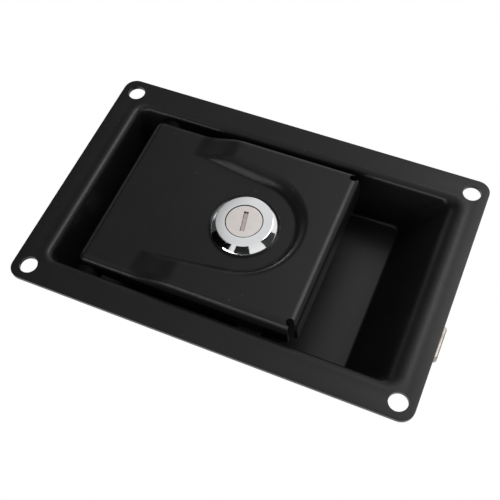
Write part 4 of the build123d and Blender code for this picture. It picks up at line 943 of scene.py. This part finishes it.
spring_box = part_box("bolt_spring")
spring_height = (spring_box[0][2] + spring_box[1][2]) / 2
bolt_line = bolt_spring_line(5.62 * MM, 26.38 * MM, 8.5, spring_height, 3.25 * MM)
bolt_spring = wire("bolt_spring_coil", bolt_line, (1, 0, 0), 0.55 * MM)
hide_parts("bolt_spring")
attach(bolt_spring, "pan")
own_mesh(bolt_spring)
print("bolt spring faces:", len(bolt_spring.data.polygons))

# %% [markdown]
# ## Floor and studio light
#
# The latch stands on a plain pale floor in a white tent, as small bright pieces are usually shown.
# The camera, mirrors and glass see the floor as plain white. Everything else gets only its soft
# bounce.

# %% Floor
floor_size = 4.0
floor_height = cad_box[0][2] - 0.0005
corners = np.array([(-1, -1, 0), (1, -1, 0), (1, 1, 0), (-1, 1, 0)], float) * floor_size / 2
corners[:, 2] = floor_height
floor = new_mesh("floor", corners, [(0, 1, 2, 3)], smooth=False)
floor_finish = bpy.data.materials.new("floor")
floor_finish.use_nodes = True
tree = floor_finish.node_tree
shader = tree.nodes["Principled BSDF"]
shader.inputs["Base Color"].default_value = (0.82, 0.82, 0.82, 1)
shader.inputs["Roughness"].default_value = 0.9
white = node(tree, "ShaderNodeEmission", Strength=1.0)


def seen_directly(tree):
    """1 for rays from the camera, and for mirror and glass rays, which show the same white."""
    path = node(tree, "ShaderNodeLightPath")
    either = calculate(tree, "MAXIMUM", path.outputs["Is Camera Ray"], path.outputs["Is Glossy Ray"])
    return calculate(tree, "MAXIMUM", either, path.outputs["Is Transmission Ray"])


mixed = node(tree, "ShaderNodeMixShader")
join(
    tree,
    (seen_directly(tree), mixed.inputs[0]),
    (shader.outputs[0], mixed.inputs[1]),
    (white.outputs[0], mixed.inputs[2]),
    (mixed.outputs[0], tree.nodes["Material Output"].inputs["Surface"]),
)
floor.data.materials.append(floor_finish)
print("floor at z =", round(floor_height, 4))

# %% [markdown]
# ## The tent
#
# Polished chrome has no look of its own: it shows what stands round it. So the tent is a white
# cloth with a few dark openings in its wall, and they give the lock's cone its black patches. It is
# worked out from the direction of each mirror ray. The cloth is a little greyer overhead and fades
# to dark at the far left. Seen from above, a bearing of 0 degrees points from the latch to the
# near side and 90 degrees to the right. Below the openings, from the near side round by the right
# to the back, lies a bright table.

# %% Directions in the tent
world = bpy.data.worlds.new("studio")
bpy.context.scene.world = world
world.use_nodes = True
tree = world.node_tree
direction = node(tree, "ShaderNodeTexCoord")
parts = node(tree, "ShaderNodeSeparateXYZ")
join(tree, (direction.outputs["Generated"], parts.inputs[0]))
rightward, backward, upward = parts.outputs["X"], parts.outputs["Y"], parts.outputs["Z"]
nearward = calculate(tree, "MULTIPLY", backward, -1.0)
bearing = calculate(tree, "ARCTAN2", rightward, nearward)
turn_share = calculate(tree, "MULTIPLY_ADD", bearing, 1 / (2 * math.pi), 0.5)


def ramp(tree, value, stops, interpolation="LINEAR"):
    """One colour ramp of grey levels, its stops given as (position, level)."""
    made = node(tree, "ShaderNodeValToRGB")
    made.color_ramp.interpolation = interpolation
    elements = made.color_ramp.elements
    for number, (position, level) in enumerate(stops):
        stop = elements[number] if number < 2 else elements.new(position)
        stop.position = position
        stop.color = (level, level, level, 1)
    join(tree, (value, made.inputs[0]))
    return made.outputs[0]


print("tent directions:", len(tree.nodes), "nodes")

# %% The cloth: levels from left (-1) to right (1), and a greyer roof
LEFT_TO_RIGHT = [(-1.0, 0.05), (-0.46, 0.06), (-0.26, 0.97), (0.1, 1.0)]
overhead = ranged(tree, upward, 0.35, 0.95, 1.0, 0.86, interpolation_type="SMOOTHSTEP")
cloth_stops = [((x + 1) / 2, level) for x, level in LEFT_TO_RIGHT]
sideways = ramp(tree, ranged(tree, rightward, -1.0, 1.0), cloth_stops)
cloth = calculate(tree, "MULTIPLY", overhead, sideways)
print("cloth levels:", LEFT_TO_RIGHT)

# %% The wall's dark openings by bearing in degrees, and the bright table below them
DARK_AND_LIGHT = [(-180, 1.0), (-82, 0.02), (-24, 1.0), (-9, 0.02), (33, 1.0), (76, 0.05), (118, 1.0)]
TABLE_TOP, TABLE_FROM = 0.20, -36
wall_stops = [(degrees / 360 + 0.5, level) for degrees, level in DARK_AND_LIGHT]
opening = ramp(tree, turn_share, wall_stops, "CONSTANT")
below = calculate(tree, "LESS_THAN", upward, TABLE_TOP)
beside = calculate(tree, "GREATER_THAN", turn_share, TABLE_FROM / 360 + 0.5)
around = calculate(tree, "MAXIMUM", opening, calculate(tree, "MULTIPLY", below, beside))
walls = node(tree, "ShaderNodeMix", data_type="FLOAT")
walls.inputs[2].default_value = 1.0
join(tree, (ranged(tree, upward, 0.80, 0.76), walls.inputs[0]), (around, walls.inputs[3]))
shade = calculate(tree, "MULTIPLY", cloth, walls.outputs[0])
print("openings:", sum(level < 0.5 for _, level in DARK_AND_LIGHT))

# %% A second bright patch, low at the far left
far_left = calculate(tree, "LESS_THAN", rightward, -0.66)
back_left = calculate(tree, "MULTIPLY", far_left, ranged(tree, backward, 0.22, 0.36))
low_patch = calculate(tree, "MULTIPLY", back_left, ranged(tree, upward, 0.42, 0.30, 0.0, 0.8))
mirror_level = calculate(tree, "MAXIMUM", shade, low_patch)
print("tent:", len(tree.nodes), "nodes")

# %% What each kind of ray sees of the tent
soft_grey = tree.nodes["Background"]
soft_grey.inputs["Color"].default_value = (0.30, 0.30, 0.31, 1)
mirror_tent = node(tree, "ShaderNodeBackground", Color=(1, 1, 1, 1))
seen = node(tree, "ShaderNodeBackground", Color=(1, 1, 1, 1), Strength=1.0)
path = node(tree, "ShaderNodeLightPath")
lit = node(tree, "ShaderNodeMixShader")
shown = node(tree, "ShaderNodeMixShader")
join(
    tree,
    (mirror_level, mirror_tent.inputs["Strength"]),
    (path.outputs["Is Glossy Ray"], lit.inputs[0]),
    (soft_grey.outputs[0], lit.inputs[1]),
    (mirror_tent.outputs[0], lit.inputs[2]),
    (path.outputs["Is Camera Ray"], shown.inputs[0]),
    (lit.outputs[0], shown.inputs[1]),
    (seen.outputs[0], shown.inputs[2]),
    (shown.outputs[0], tree.nodes["World Output"].inputs["Surface"]),
)
print("tent ready")

# %% [markdown]
# ## Lamps
#
# Three softboxes add the gentle slope of light over the black coat. The key stands high behind on
# the right, and the weak fill high in front on the left. A long low one in front draws the thin
# bright lines on the bends that face the near side.

# %% Softboxes
def softbox(name, place_at, size, power):
    """A rectangular area lamp that faces the middle of the flange."""
    lamp = bpy.data.lights.new(name, "AREA")
    lamp.shape = "RECTANGLE"
    lamp.size, lamp.size_y = size
    lamp.energy = power
    stand = bpy.data.objects.new(name, lamp)
    stand.location = place_at
    stand.rotation_euler = Vector(place_at).to_track_quat("Z", "Y").to_euler()
    bpy.context.scene.collection.objects.link(stand)


softbox("key", (0.32, 0.40, 0.75), (0.55, 0.45), 3.8)
softbox("fill", (-0.5, -0.3, 0.8), (0.6, 0.6), 0.4)
softbox("low front", (0.0, -0.60, 0.15), (0.9, 0.10), 2.0)

# %% Picture settings
bpy.context.scene.view_settings.view_transform = "Standard"
print("view transform:", bpy.context.scene.view_settings.view_transform)
